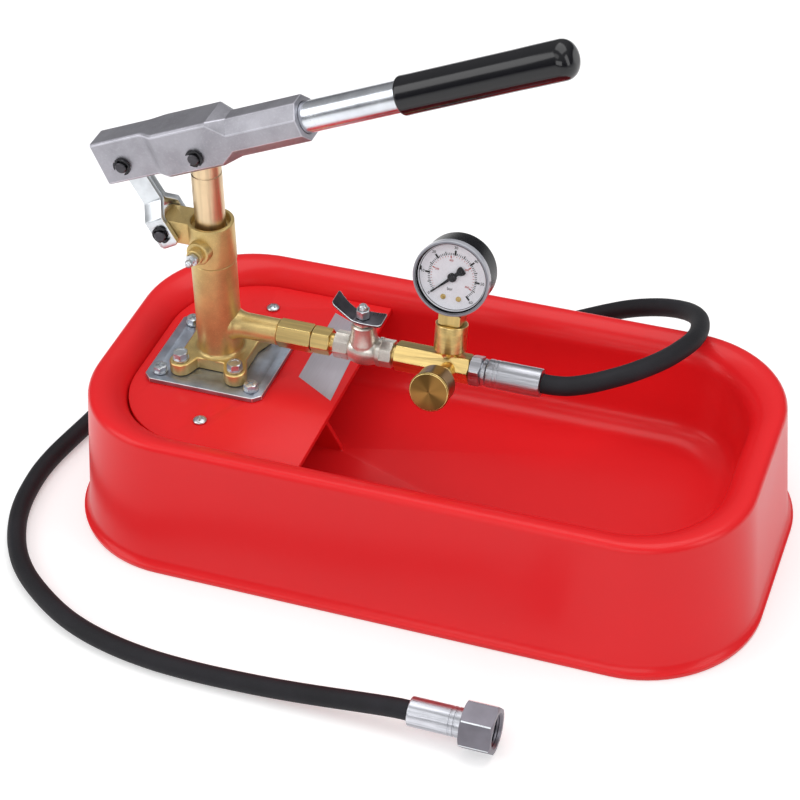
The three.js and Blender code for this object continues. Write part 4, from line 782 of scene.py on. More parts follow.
LIP_WIDTH = 0.0032
LIP_HEIGHT = 0.0034
LIP_FLARE_HEIGHT = 0.008
RIM_INSET = LIP_WIDTH + 0.005
RIM_OUTER = 0.004
RIM_INNER = 0.014
CREST_INSET = RIM_INSET + RIM_OUTER
BASIN_INSET = CREST_INSET + RIM_INNER
BASIN_FILLET = 0.014
BASIN_DRAFT = 0.0026
FLOOR_INSET = BASIN_INSET + BASIN_DRAFT + BASIN_FILLET
FOOT_EDGE = (0.0004, 0.0002)
MOULDED_EDGE = 0.0006
WEB_TIP_X = -0.0535
WEB_TIP_RISE = 0.0012
WEB_TOP_X = -0.0745
WEB_BEND = ((-0.0542, 0.028), (-0.0622, 0.043))
WEB_END_X = -0.099
POST_RADIUS = 0.005
POST_BORE = 0.014
CORNER_SHRINK_SHARE = 0.6
DECK_THICKNESS = 0.003
DECK_GAP = 0.0005
DECK_END_X = -0.0495
DECK_EDGE = 0.0004
DECK_SCREW_X = -0.112
DECK_SCREW_Y = 0.052
SCREW_HOLE = 0.0016
PLATE_HOLE = 0.0023
FLANGE_HOLE = 0.0028
PLATE_SPACING = (0.052, 0.045)
FLANGE_SPACING = (0.031, 0.036)
FLANGE_THICKNESS = 0.007
SUCTION_RADIUS = 0.007
SUCTION_HOLE = SUCTION_RADIUS + SEAT_GAP
LABEL_CORNERS = ((-0.0763, -0.0013), (-0.0529, -0.0154), (-0.0562, 0.0485), (-0.0775, 0.0583))
LABEL_THICKNESS = 0.00015
LABEL_EDGE = 0.00004


def rounded_plate(inset, height):
    """In edit mode: adds one ring of the tank, a plane with its four corners rounded."""
    sizes = bpy.context.scene.test_pump_tank
    reach = (sizes.tank_length - 2 * inset, sizes.tank_width - 2 * inset, 1)
    bpy.ops.mesh.select_all(action="DESELECT")
    bpy.ops.mesh.primitive_plane_add(size=1, location=(0, 0, height))
    bpy.ops.transform.resize(value=reach)
    radius = sizes.corner_radius - inset * CORNER_SHRINK_SHARE
    bpy.ops.mesh.bevel(offset=radius, segments=CORNER_STEPS, profile=0.5, affect="VERTICES")


def tank_profile(sizes):
    """Inset and height of each ring, from the basin's floor over the rim and round the foot."""
    fillet_z = sizes.basin_floor + BASIN_FILLET
    inner_z = sizes.tank_height - RIM_INNER
    outer_z = sizes.tank_height - RIM_OUTER
    wall = sizes.wall
    flare = curve((LIP_WIDTH, LIP_FLARE_HEIGHT), (LIP_WIDTH * 0.55, LIP_HEIGHT * 1.2), (0, LIP_HEIGHT), 5)
    under = [
        (LIP_WIDTH + wall, LIP_FLARE_HEIGHT),
        *arc(CREST_INSET, outer_z, RIM_OUTER - wall, 180, 90, 2),
        *arc(CREST_INSET, inner_z, RIM_INNER - wall, 90, 0, 8)[1:],
        *arc(FLOOR_INSET, fillet_z, BASIN_FILLET + wall, 180, 270, 6),
    ]
    return [
        *arc(FLOOR_INSET, fillet_z, BASIN_FILLET, 270, 180, 8),
        *arc(CREST_INSET, inner_z, RIM_INNER, 0, 90, 14),
        *arc(CREST_INSET, outer_z, RIM_OUTER, 90, 180, 8)[1:],
        *flare,
        FOOT_EDGE,
        (wall, 0.0),
        (wall, LIP_HEIGHT - wall / 2),
        *under,
    ]


def tank_shell(sizes):
    profile = tank_profile(sizes)
    piece = new_point("tank")
    bpy.ops.mesh.delete(type="VERT")
    for inset, height in profile:
        rounded_plate(inset, height)
    bpy.ops.mesh.select_all(action="SELECT")
    bpy.ops.mesh.delete(type="ONLY_FACE")
    count = len(bmesh.from_edit_mesh(piece.data).verts) // len(profile)
    bridge_rings(count, len(profile))
    end_edit()
    under_deck = sizes.deck_top - DECK_THICKNESS - SEAT_GAP
    sunk = sizes.basin_floor - sizes.wall / 2
    web_outline = [
        (WEB_TIP_X, sunk),
        (WEB_TIP_X, sizes.basin_floor + WEB_TIP_RISE),
        *curve(*WEB_BEND, (WEB_TOP_X, under_deck), 8),
        (WEB_END_X, under_deck),
        (WEB_END_X, sunk),
    ]
    web = softened(slab("web", web_outline, sizes.wall / 2), MOULDED_EDGE, 3)
    posts = []
    for side in (-1, 1):
        post = bar("post", POST_RADIUS, sunk, under_deck, SMALL_SIDES)
        bored(post, SCREW_HOLE, under_deck - POST_BORE, under_deck + OVERRUN)
        posts.append(put(post, moved(DECK_SCREW_X, side * DECK_SCREW_Y)))
    joined(piece, web, *posts)
    return softened(piece, MOULDED_EDGE, 3, 38)


def deck_plate(sizes):
    """The rounded ring of the basin less its gap, cut off square on the right, with a softened edge."""
    inset = BASIN_INSET + DECK_GAP
    bottom = sizes.deck_top - DECK_THICKNESS
    piece = new_point("deck")
    bpy.ops.mesh.delete(type="VERT")
    rounded_plate(inset, bottom)
    bpy.ops.mesh.extrude_region_move(TRANSFORM_OT_translate={"value": (0, 0, DECK_THICKNESS)})
    tidy_normals()
    bpy.ops.mesh.bisect(plane_co=(DECK_END_X, 0, 0), plane_no=(1, 0, 0), use_fill=True, clear_outer=True)
    end_edit()
    low, high = bottom - OVERRUN, sizes.deck_top + OVERRUN
    holes = [put(drill(SUCTION_HOLE, low, high, FINE_SIDES), PUMP)]
    holes.extend(corner_drills(PLATE_SPACING, PLATE_HOLE, low, high, PUMP))
    for side in (-1, 1):
        holes.append(put(drill(SCREW_HOLE, low, high), moved(DECK_SCREW_X, side * DECK_SCREW_Y)))
    return softened(cut(piece, *holes), DECK_EDGE, 3, 40)


class TESTPUMP_OT_tank(bpy.types.Operator):
    """Model the tank, its deck and the bare label on it"""

    bl_idname = "test_pump.tank"
    bl_label = "Tank and deck"

    def execute(self, context):
        sizes = context.scene.test_pump_tank
        finished(tank_shell(sizes), "tank", "tank", "tank", node="tank_shell")
        finished(deck_plate(sizes), "tank", "deck", "deck", node="deck_plate")
        bottom = sizes.deck_top + LABEL_THICKNESS / 3
        label = prism("label", LABEL_CORNERS, bottom, bottom + LABEL_THICKNESS)
        finished(softened(label, LABEL_EDGE), "tank", "zinc_plate", "label")
        return {"FINISHED"}


# Plate, bolts and screws

SLOT_WIDTH = 0.0009
SLOT_DEPTH = 0.0012
SCREW_RADIUS = 0.0013
SCREW_LENGTH = 0.012
SCREW_HEAD_RADIUS = 0.0036
SCREW_HEAD_SIDE = 0.0007
SCREW_DOME_RADIUS = 0.0056
SCREW_SLOT = (0.0022, 0.001, 0.004)
BOLT_CHAMFER = 0.0005
FINE_EDGE = 0.00012
WASHER_STEP = 0.00005
PLATE_HALF = (0.0335, 0.030)
PLATE_CORNER = 0.004
PLATE_EDGE = 0.00035
PLATE_BOLT = {
    "flats": 0.0066,
    "head_height": 0.0028,
    "washer": 0.0041,
    "washer_height": 0.0009,
    "shank": 0.002,
    "reach": 0.006,
    "crossed": True,
}
FLANGE_BOLT = {
    "flats": 0.0072,
    "head_height": 0.0036,
    "washer": 0.0044,
    "washer_height": 0.001,
    "shank": 0.0025,
    "reach": 0.0097,
    "crossed": False,
}


def cross_slot(half_length, bottom, top):
    half = SLOT_WIDTH / 2
    one = box("slot", (-half_length, -half, bottom), (half_length, half, top))
    return joined(one, put(copy_of(one, "slot_across"), turned_about("Z", 90)))


def deck_screw():
    """A screw with a low round head and a cross recess."""
    profile = [
        (0, -SCREW_LENGTH),
        (SCREW_RADIUS, -SCREW_LENGTH),
        (SCREW_RADIUS, 0),
        (SCREW_HEAD_RADIUS, 0),
        (SCREW_HEAD_RADIUS, SCREW_HEAD_SIDE),
        *arc(0, -SCREW_HEAD_RADIUS, SCREW_DOME_RADIUS, 50, 90, 6),
    ]
    piece = turned("deck_screw", profile, SMALL_SIDES)
    cut(piece, cross_slot(*SCREW_SLOT))
    return softened(piece, FINE_EDGE)


def hex_bolt(flats, head_height, washer, washer_height, shank, reach, crossed):
    """A hexagon bolt with its washer; the plate's bolts also have a cross recess."""
    top = washer_height + head_height
    piece = hexagon("bolt", flats, washer_height, top, BOLT_CHAMFER)
    if crossed:
        cut(piece, cross_slot(flats * 0.36, top - SLOT_DEPTH, top + OVERRUN))
    else:
        low, high = top - 0.0003, top + 0.001
        dish = [(0, low), (flats * 0.34, low), (flats * 0.40, high), (0, high)]
        cut(piece, turned("dish", dish, SMALL_SIDES))
    seat = washer_height + WASHER_STEP
    rim = [(shank, 0.0), (washer, 0.0), (washer, washer_height), (flats * 0.40, seat), (0, seat)]
    return joined(piece, turned("stem", [(0, -reach), (shank, -reach), *rim], SMALL_SIDES))


def mounting_plate(sizes):
    half_x, half_y = PLATE_HALF
    across, up = half_x - PLATE_CORNER, half_y - PLATE_CORNER
    front = [(-across, -half_y), (across, -half_y), (half_x, -up), (half_x, up)]
    outline = [*front, *((-x, -y) for x, y in front)]
    bottom = sizes.deck_top + SEAT_GAP
    top = bottom + sizes.plate_thickness
    low, high = bottom - OVERRUN, top + OVERRUN
    holes = [drill(SUCTION_HOLE, low, high, FINE_SIDES)]
    holes.extend(corner_drills(PLATE_SPACING, PLATE_HOLE, low, high))
    holes.extend(corner_drills(FLANGE_SPACING, FLANGE_HOLE, low, high))
    piece = cut(prism("mounting_plate", outline, bottom, top), *holes)
    return put(softened(piece, PLATE_EDGE, 3, worn=True), PUMP)


class TESTPUMP_OT_plate(bpy.types.Operator):
    """Model the zinc plate, its bolts and the deck's screws"""

    bl_idname = "test_pump.plate"
    bl_label = "Plate, bolts and screws"

    def execute(self, context):
        sizes = context.scene.test_pump_tank
        plate = mounting_plate(sizes)
        finished(plate, "tank", "zinc_plate", "plate", "zinc_edge", node="mounting_plate")
        plate_top = sizes.deck_top + SEAT_GAP + sizes.plate_thickness
        flange_top = plate_top + SEAT_GAP + FLANGE_THICKNESS
        rows = (
            ("plate_bolt", PLATE_BOLT, PLATE_SPACING, plate_top),
            ("flange_bolt", FLANGE_BOLT, FLANGE_SPACING, flange_top),
        )
        for row, shape, spacing, top in rows:
            first = hex_bolt(**shape)
            for number, (corner, (x, y)) in enumerate(four_corners(*spacing).items()):
                bolt = copy_of(first, f"{row}_of_{corner}")
                put(bolt, PUMP @ moved(x, y, top + SEAT_GAP) @ turned_about("Z", 17 + 41 * number))
                finished(bolt, "tank", "fasteners", "zinc", node=f"{row}_{corner}")
            bpy.data.meshes.remove(first.data)
        first = deck_screw()
        for corner, side, turn in (("front", -1, 20), ("rear", 1, 55)):
            screw = copy_of(first, f"deck_screw_at_{corner}")
            spot = moved(DECK_SCREW_X, side * DECK_SCREW_Y, sizes.deck_top + SEAT_GAP)
            put(screw, spot @ turned_about("Z", turn))
            finished(screw, "tank", "fasteners", "zinc", node=f"deck_screw_{corner}")
        bpy.data.meshes.remove(first.data)
        return {"FINISHED"}


# Pump barrel, cylinder head and plunger

LOBE_RADIUS = 0.0062
FLANGE_EDGE = 0.0008
WAIST_FRONT = (0.0076, 0.0143)
WAIST_SIDE = (0.0182, 0.008)
SUCTION_RISE = 0.0085
CHAMBER_RADIUS = 0.0047
CHAMBER_HEIGHT = 0.0065
SPIGOT_RADIUS = 0.005
SPIGOT_LENGTH = 0.006
LINE_BORE = 0.0025
OUTLET_END = -0.086
OUTLET_RADIUS = 0.007
BRANCH_RADIUS = 0.0088
WAY_RADIUS = 0.0035
SPIGOT_TOP = 0.004
HEAD_SPIGOT_RADIUS = 0.010
BARREL_FILLET = 0.0026
SMALL_CHAMFER = 0.0003
CASTING_EDGE = 0.0008
CHAMFER = 0.0004
LUG_RADIUS = 0.0066
LUG_HALF = 0.00775
LUG_EDGE = 0.0006
BOSS_RADIUS = 0.0064
BOSS_END = 0.016
BOSS_NOSE_RADIUS = 0.0044
BOSS_NOSE_END = 0.0196
BOSS = moved(0, 0, 0.150) @ turned_about("Z", -6) @ TO_READER
RECESS_RADIUS = 0.0103
RECESS_DEPTH = 0.004
SEAL_HEIGHT = 0.005
NIPPLE_FLATS = 0.006
NIPPLE_HOLE = 0.0021
NIPPLE_HOLE_START = 0.009
NIPPLE_START = 0.0199
NIPPLE_HEX_HEIGHT = 0.002
NIPPLE_LENGTH = 0.007
NIPPLE_BALL_RADIUS = 0.0021
NIPPLE_NECK_RADIUS = 0.0014
NIPPLE_STEM_RADIUS = 0.0018
ROD_BOTTOM_Z = 0.124
ROD_TOP = 0.0064
ROD_RING = -0.0155
ROD_CHAMFER = 0.001
PIN_RADIUS = 0.003
PIN_HOLE = PIN_RADIUS + 0.0003


def flange_outline():
    """A lobe round each bolt; the sides between them are drawn in, most of all at the front and rear."""
    x, y = FLANGE_SPACING[0] / 2, FLANGE_SPACING[1] / 2
    near, far = WAIST_FRONT
    side, rise = WAIST_SIDE
    return [
        *arc(-x, -y, LOBE_RADIUS, -200, -25, 16),
        (-near, -far),
        (near, -far),
        *arc(x, -y, LOBE_RADIUS, -155, 20, 16),
        (side, -rise),
        (side, rise),
        *arc(x, y, LOBE_RADIUS, -20, 155, 16),
        (near, far),
        (-near, far),
        *arc(-x, y, LOBE_RADIUS, 25, 200, 16),
        (-side, rise),
        (-side, -rise),
    ]


def pump_barrel(works, tank):
    bottom = tank.deck_top + 2 * SEAT_GAP + tank.plate_thickness
    flange_top = bottom + FLANGE_THICKNESS
    radius, top = works.barrel_radius, works.barrel_top
    flange = softened(prism("barrel", flange_outline(), bottom, flange_top), FLANGE_EDGE, 4, worn=True)
    fillet = arc(radius + BARREL_FILLET, flange_top + BARREL_FILLET, BARREL_FILLET, 270, 180, 8)
    column_profile = [
        (0, bottom + SEAT_GAP),
        (radius, bottom + SEAT_GAP),
        (radius + BARREL_FILLET, flange_top - SEAT_GAP),
        *fillet,
        (radius, top - SMALL_CHAMFER),
        (radius - SMALL_CHAMFER, top),
        (HEAD_SPIGOT_RADIUS, top),
        (HEAD_SPIGOT_RADIUS, top + SPIGOT_TOP),
        (0, top + SPIGOT_TOP),
    ]
    column = turned("column", column_profile, ROUND_SIDES)
    reach = OUTLET_END - PUMP_X
    bend = (0.0071, radius + 0.0008)
    flare = curve((BRANCH_RADIUS, radius - 0.0018), bend, (OUTLET_RADIUS, radius + 0.0042), 10)
    end = [(OUTLET_RADIUS, reach - CHAMFER), (OUTLET_RADIUS - CHAMFER, reach), (0, reach)]
    branch = put(turned("branch", [(0, 0), (BRANCH_RADIUS, 0), *flare, *end]), LINE)
    chamber_top = bottom + SUCTION_RISE + SEAT_GAP + CHAMBER_HEIGHT
    socket = drill(SPIGOT_RADIUS + SEAT_GAP, reach - SPIGOT_LENGTH - SEAT_GAP, reach + OVERRUN)
    way = drill(WAY_RADIUS, 0, reach - SPIGOT_LENGTH / 2)
    holes = [
        drill(works.rod_radius + 0.0005, chamber_top, top + SPIGOT_TOP + OVERRUN, FINE_SIDES),
        drill(CHAMBER_RADIUS, bottom + SUCTION_RISE, chamber_top + OVERRUN),
        drill(SUCTION_HOLE, bottom - OVERRUN, bottom + SUCTION_RISE + SEAT_GAP),
    ]
    holes.extend(put(tool, LINE) for tool in (socket, way))
    holes.extend(corner_drills(FLANGE_SPACING, FLANGE_HOLE, bottom - OVERRUN, flange_top + OVERRUN))
    return put(cut(joined(flange, column, branch), *holes), PUMP)


def cylinder_head(works):
    bottom = works.barrel_top + SEAT_GAP
    top = works.barrel_top + works.head_height
    radius = works.head_radius
    crown = round_edge(radius, top, CASTING_EDGE)
    foot = [(0, bottom), (radius - CHAMFER, bottom), (radius, bottom + CHAMFER)]
    body = turned("head", [*foot, *crown, (0, top)], ROUND_SIDES)
    pin_x = LUG_X - PUMP_X
    lug_end = arc(pin_x, LUG_Z, LUG_RADIUS, 90, 270, 20)
    lug = slab("lug", [(0, top - 0.0002), *lug_end, (0, LUG_Z - LUG_RADIUS)], LUG_HALF)
    softened(lug, LUG_EDGE, 3, worn=True)
    boss_profile = [
        (0, 0),
        (BOSS_RADIUS, 0),
        *round_edge(BOSS_RADIUS, BOSS_END, CASTING_EDGE),
        (BOSS_NOSE_RADIUS, BOSS_END),
        (BOSS_NOSE_RADIUS, BOSS_NOSE_END - CHAMFER),
        (BOSS_NOSE_RADIUS - CHAMFER, BOSS_NOSE_END),
        (0, BOSS_NOSE_END),
    ]
    boss = put(turned("boss", boss_profile), BOSS)
    low, high = bottom - OVERRUN, top + OVERRUN
    floor = top - RECESS_DEPTH
    recess_profile = [
        (0, floor),
        (RECESS_RADIUS, floor),
        (RECESS_RADIUS, top - CHAMFER),
        (RECESS_RADIUS + CHAMFER, top),
        (RECESS_RADIUS, high),
        (0, high),
    ]
    tools = [
        drill(works.rod_radius + RUNNING_GAP, low, high, ROUND_SIDES),
        turned("recess", recess_profile),
        drill(RECESS_RADIUS, low, works.barrel_top + SPIGOT_TOP + SEAL_HEIGHT, FINE_SIDES),
        put(drill(NIPPLE_HOLE, NIPPLE_HOLE_START, BOSS_NOSE_END + OVERRUN), BOSS),
        put(drill(PIN_HOLE, -radius, radius), moved(pin_x, 0, LUG_Z) @ TO_READER),
    ]
    return put(cut(joined(body, lug, boss), *tools), PUMP)


def grease_nipple():
    hex_end = NIPPLE_START + NIPPLE_HEX_HEIGHT
    tip = NIPPLE_START + NIPPLE_LENGTH
    profile = [
        (0, BOSS_END),
        (NIPPLE_STEM_RADIUS, BOSS_END),
        (NIPPLE_STEM_RADIUS, hex_end),
        (NIPPLE_NECK_RADIUS, hex_end + 0.0006),
        (NIPPLE_NECK_RADIUS, tip - 0.0040),
        *arc(0, tip - NIPPLE_BALL_RADIUS, NIPPLE_BALL_RADIUS, -48, 78, 10),
        (0, tip - 0.0004),
    ]
    piece = turned("nipple", profile, SMALL_SIDES)
    joined(piece, hexagon("nipple_hex", NIPPLE_FLATS, NIPPLE_START, hex_end, CHAMFER))
    return put(piece, PUMP @ BOSS)


def piston_rod(works):
    """The plunger: a polished rod with a fine ring turned below its eye."""
    radius, bottom, edge = works.rod_radius, ROD_BOTTOM_Z - PIVOT_Z, ROD_CHAMFER
    groove, eye = radius - 0.00035, radius - 0.00008
    profile = [
        (0, bottom),
        (radius - edge, bottom),
        (radius, bottom + edge),
        (radius, ROD_RING - 0.0005),
        (groove, ROD_RING - 0.0002),
        (groove, ROD_RING + 0.0002),
        (eye, ROD_RING + 0.0005),
        (eye, ROD_TOP - edge),
        (radius - edge, ROD_TOP),
        (0, ROD_TOP),
    ]
    piece = turned("plunger", profile, ROUND_SIDES)
    cut(piece, put(drill(PIN_HOLE, -radius - OVERRUN, radius + OVERRUN), TO_READER))
    return put(piece, moved(PUMP_X, 0, PIVOT_Z))


class TESTPUMP_OT_pump(bpy.types.Operator):
    """Model the barrel, the cylinder head, its grease nipple and the plunger"""

    bl_idname = "test_pump.pump"
    bl_label = "Barrel, head and plunger"

    def execute(self, context):
        works, tank = context.scene.test_pump_works, context.scene.test_pump_tank
        brass = ("cast_brass", "cast_brass_edge")
        finished(pump_barrel(works, tank), "tank", "cast_brass", *brass, node="pump_barrel")
        finished(cylinder_head(works), "tank", "cast_brass", *brass, node="cylinder_head")
        finished(grease_nipple(), "tank", "fasteners", "zinc", node="grease_nipple")
        finished(piston_rod(works), "plunger", "turned_brass", "rod_brass", node="piston_rod")
        return {"FINISHED"}


# Lever: head, handle tube and grip

FORK_HALF = 0.008
CHEEK_HALF = 0.012
CHEEK_TOP = 0.0168
CHEEK_BOTTOM = -0.0084
FORK_END = -0.0285
CHEEK_START = -0.0185
CHEEK_END = 0.0135
STEP_SECTIONS = 9
SOCKET_FLATS = 0.022
SOCKET_START = 0.0215
SOCKET_END = 0.0625
TUBE_OFFSET = 0.0027
TUBE_START = 0.024
SLOT_TOP = 0.0132
LINK_SLOT_HALF = 0.0036
LINK_SLOT_START = -0.061
ROD_SLOT_START = -0.020
ROD_SLOT_END = 0.010
LEVER_EDGE = 0.0005
FORK_SECTION = (FORK_HALF, -0.0069, 0.0176, 0.001)
CHEEK_SECTION = (CHEEK_HALF, CHEEK_BOTTOM, CHEEK_TOP, 0.0014)
LEVER_START = -0.059
TUBE_WALL = 0.0018
TUBE_REST = 0.0038
GRIP_WALL = 0.0016
GRIP_ROUNDING = 0.007
GRIP_END_WALL = 0.0035
HANDLE = LEVER @ moved(0, 0, TUBE_OFFSET) @ ALONG_X


def lever_section(x, half_width, bottom, top, edge_cut):
    """A section across the lever: a rectangle with its corners cut."""
    half = [(half_width - edge_cut, bottom), (half_width, bottom + edge_cut), (half_width, top - edge_cut)]
    half.append((half_width - edge_cut, top))
    other = [(-y, z) for y, z in reversed(half)]
    return [(x, y, z) for y, z in [*half, *other]]


def lever_head(works):
    half = SOCKET_FLATS / 2
    octagon = SOCKET_FLATS * (1 - math.sqrt(0.5))
    low, high = TUBE_OFFSET - half, TUBE_OFFSET + half
    sections = [lever_section(LEVER_START, *FORK_SECTION)]
    for step in range(STEP_SECTIONS + 1):
        share = step / STEP_SECTIONS
        pairs = zip(FORK_SECTION, CHEEK_SECTION)
        sizes = [first + (last - first) * eased(share) for first, last in pairs]
        sections.append(lever_section(FORK_END + (CHEEK_START - FORK_END) * share, *sizes))
    sections.append(lever_section(CHEEK_END, *CHEEK_SECTION))
    for x in (SOCKET_START, SOCKET_END):
        sections.append(lever_section(x, half, low, high, octagon))
    piece = skinned("lever_casting", sections)
    under = CHEEK_BOTTOM - OVERRUN
    tube_bore = drill(works.tube_radius + SEAT_GAP, TUBE_START - SEAT_GAP, SOCKET_END + OVERRUN, FINE_SIDES)
    put(tube_bore, moved(0, 0, TUBE_OFFSET) @ ALONG_X)
    rod_half = works.rod_radius + RUNNING_GAP
    tools = [
        box("link_slot", (LINK_SLOT_START, -LINK_SLOT_HALF, under), (0, LINK_SLOT_HALF, SLOT_TOP)),
        box("rod_slot", (ROD_SLOT_START, -rod_half, under), (ROD_SLOT_END, rod_half, SLOT_TOP)),
        tube_bore,
    ]
    for x, z in ((0, 0), (FORK_X, FORK_Z)):
        hole = drill(PIN_HOLE, -CHEEK_HALF - OVERRUN, CHEEK_HALF + OVERRUN)
        tools.append(put(hole, moved(x, 0, z) @ TO_READER))
    softened(piece, LEVER_EDGE, 3, 40, worn=True)
    return put(cut(piece, *tools), LEVER)


def handle_tube(works):
    start, end = TUBE_START, works.grip_end - TUBE_REST
    outer, inner = works.tube_radius, works.tube_radius - TUBE_WALL
    profile = [
        (inner, start),
        (outer - CHAMFER, start),
        (outer, start + CHAMFER),
        (outer, end - CHAMFER),
        (outer - CHAMFER, end),
        (inner, end),
        (inner, start),
    ]
    return put(turned("tube", profile, ROUND_SIDES), HANDLE)


def handle_grip(works):
    """The dipped grip: a soft bead at its mouth, a slim body and a rounded end."""
    start, end = works.grip_start, works.grip_end
    inner = works.tube_radius + SEAT_GAP
    outer = inner + GRIP_WALL
    slim = outer - 0.00012
    profile = [
        (inner, start),
        *curve((inner + 0.0008, start), (outer + 0.0001, start + 0.0002), (outer, start + 0.0018), 6),
        (slim, start + 0.006),
        (slim, end - 0.03),
        (outer, end - 0.02),
        *round_edge(outer, end, GRIP_ROUNDING, 14),
        (0, end),
        (0, end - GRIP_END_WALL),
        (inner, end - GRIP_END_WALL),
        (inner, start),
    ]
    return put(turned("grip", profile, ROUND_SIDES), HANDLE)


class TESTPUMP_OT_lever(bpy.types.Operator):
    """Model the lever's cast head, its handle tube and grip"""

    bl_idname = "test_pump.lever"
    bl_label = "Lever and grip"

    def execute(self, context):
        works = context.scene.test_pump_works
        alu = ("aluminium", "aluminium_edge")
        finished(lever_head(works), "lever", "cast_aluminium", *alu, node="lever_head", smooth=18)
        finished(handle_tube(works), "lever", "handle_steel", "tube", node="handle_tube")
        finished(handle_grip(works), "lever", "grip_vinyl", "vinyl", node="handle_grip")
        return {"FINISHED"}


# Pins, clips and link straps

STRAP_THICKNESS = 0.003
CLIP_RADIUS = 0.0048
CLIP_THICKNESS = 0.0009
GROOVE_RADIUS = PIN_RADIUS - 0.0006
PIN_REACH = 0.0011
STRAP_HALF = 0.0056
STRAP_EYE = 0.007
STRAP_FOOT = -0.0086
STRAP_CORNER = 0.002
STRAP_EDGE = 0.0003
STRAP_APART = 0.0003
BEND_TOP = 0.0268
BEND_FOOT = 0.0339
BEND_ROUNDING = 0.0009
CLIP_HOLE_RADIUS = 0.0011
SLOT_LEFT, SLOT_RIGHT, SLOT_RISE = -0.0004, 0.0031, 0.0009


def pivot_pin(half_width):
    """A pin with a groove near each end for its clip and chamfered ends."""
    outer = half_width + 2 * SEAT_GAP + CLIP_THICKNESS
    end = outer + PIN_REACH
    half = [
        (PIN_RADIUS, half_width),
        (GROOVE_RADIUS, half_width),
        (GROOVE_RADIUS, outer),
        (PIN_RADIUS, outer),
        (PIN_RADIUS, end - CHAMFER),
        (PIN_RADIUS - 0.0005, end),
        (0, end),
    ]
    other = [(radius, -height) for radius, height in reversed(half)]
    return put(turned("pin", [*other, *half], SMALL_SIDES), TO_READER)


def spring_clip(half_width):
    """A spring clip that is open to one side, with two lugs by its mouth and a relief by each."""
    bore = GROOVE_RADIUS + SEAT_GAP
    low = half_width + SEAT_GAP
    high = low + CLIP_THICKNESS
    ring = [(bore, low), (CLIP_RADIUS, low), (CLIP_RADIUS, high), (bore, high), (bore, low)]
    piece = turned("clip", ring, FINE_SIDES)
    tools = [box("mouth", (0, -bore, low - OVERRUN), (CLIP_RADIUS + OVERRUN, bore, high + OVERRUN))]
    slant = bore * math.sqrt(0.5)
    for side in (-1, 1):
        for x, y in ((-slant, slant), (-0.0008, CLIP_RADIUS + 0.0004)):
            relief = drill(CLIP_HOLE_RADIUS, low - OVERRUN, high + OVERRUN)
            tools.append(put(relief, moved(x, side * y)))
    return softened(cut(piece, *tools), FINE_EDGE)


def strap_blank():
    """The plan that a strap is pressed to: square-cornered foot, round top."""
    flat, shoulder = STRAP_HALF - STRAP_CORNER, LINK_LENGTH - 0.012
    return [
        (-flat, STRAP_FOOT),
        (flat, STRAP_FOOT),
        (STRAP_HALF, STRAP_FOOT + STRAP_CORNER),
        (STRAP_HALF, shoulder),
        *arc(0, LINK_LENGTH, STRAP_EYE, -8, 188, 20),
        (-STRAP_HALF, shoulder),
        (-STRAP_HALF, STRAP_FOOT + STRAP_CORNER),
    ]


def link_strap(side):
    """One strap bent from flat bar: close to its twin in the fork, set out on each side of the lug."""
    top = LINK_LENGTH + STRAP_EYE
    high, low = LINK_LENGTH - BEND_TOP, LINK_LENGTH - BEND_FOOT
    inner_low = LUG_HALF + 2 * SEAT_GAP
    bend = STRAP_THICKNESS * math.tan(math.pi / 8)
    profile = [
        (STRAP_APART, top),
        (STRAP_APART, high),
        (inner_low, low),
        (inner_low, STRAP_FOOT),
        (inner_low + STRAP_THICKNESS, STRAP_FOOT),
        (inner_low + STRAP_THICKNESS, low + bend),
        (STRAP_APART + STRAP_THICKNESS, high + bend),
        (STRAP_APART + STRAP_THICKNESS, top),
    ]
    blank_half = STRAP_EYE + OVERRUN
    piece = prism("strap", profile, -blank_half, blank_half)
    softened(piece, BEND_ROUNDING, 4, 20)
    put(piece, turned_about("Z", 90) @ TO_READER)
    if side < 0:
        put(piece, turned_about("Z", 180))
    reach = CHEEK_HALF + STRAP_THICKNESS
    shared(piece, slab("blank", strap_blank(), reach))
    hole = put(drill(PIN_HOLE, -reach, reach), TO_READER)
    corners = (
        (SLOT_RIGHT, SLOT_RISE, 0),
        (SLOT_LEFT, SLOT_RISE, 90),
        (SLOT_LEFT, -SLOT_RISE, 180),
        (SLOT_RIGHT, -SLOT_RISE, 270),
    )
    slot = [spot for x, z, start in corners for spot in arc(x, z, PIN_HOLE, start, start + 90, 8)]
    cut(piece, hole, put(slab("slot", slot, reach), moved(0, 0, LINK_LENGTH)))
    return put(softened(piece, STRAP_EDGE, 2, 40, worn=True), LINKS)


class TESTPUMP_OT_links(bpy.types.Operator):
    """Model the three pins with their clips and the two link straps"""

    bl_idname = "test_pump.links"
    bl_label = "Pins, clips and straps"

    def execute(self, context):
        strap_face = LUG_HALF + 3 * SEAT_GAP + STRAP_THICKNESS
        pins = (
            ("lug", LUG, "tank", strap_face, -15),
            ("rod", LEVER, "lever", CHEEK_HALF + SEAT_GAP, 180),
            ("fork", FORK, "lever", FORK_HALF + SEAT_GAP, 135),
        )
        for name, place, body, half_width, degrees in pins:
            pin = put(pivot_pin(half_width), place)
            pin.name = f"{name}_pivot_pin"
            finished(pin, body, "black_steel", "pin_steel", node=f"{name}_pin")
            for side, turn in (("front", 90), ("rear", -90)):
                clip = spring_clip(half_width)
                clip.name = f"{name}_{side}_clip"
                put(clip, place @ turned_about("Y", degrees) @ turned_about("X", turn))
                finished(clip, body, "black_steel", "black_steel", node=f"{name}_clip_{side}")
        for name, side in (("front", -1), ("rear", 1)):
            strap = link_strap(side)
            strap.name = f"{name}_strap"
            finished(strap, "links", "zinc_plate", "zinc", "zinc_edge", node=f"link_strap_{name}")
        return {"FINISHED"}


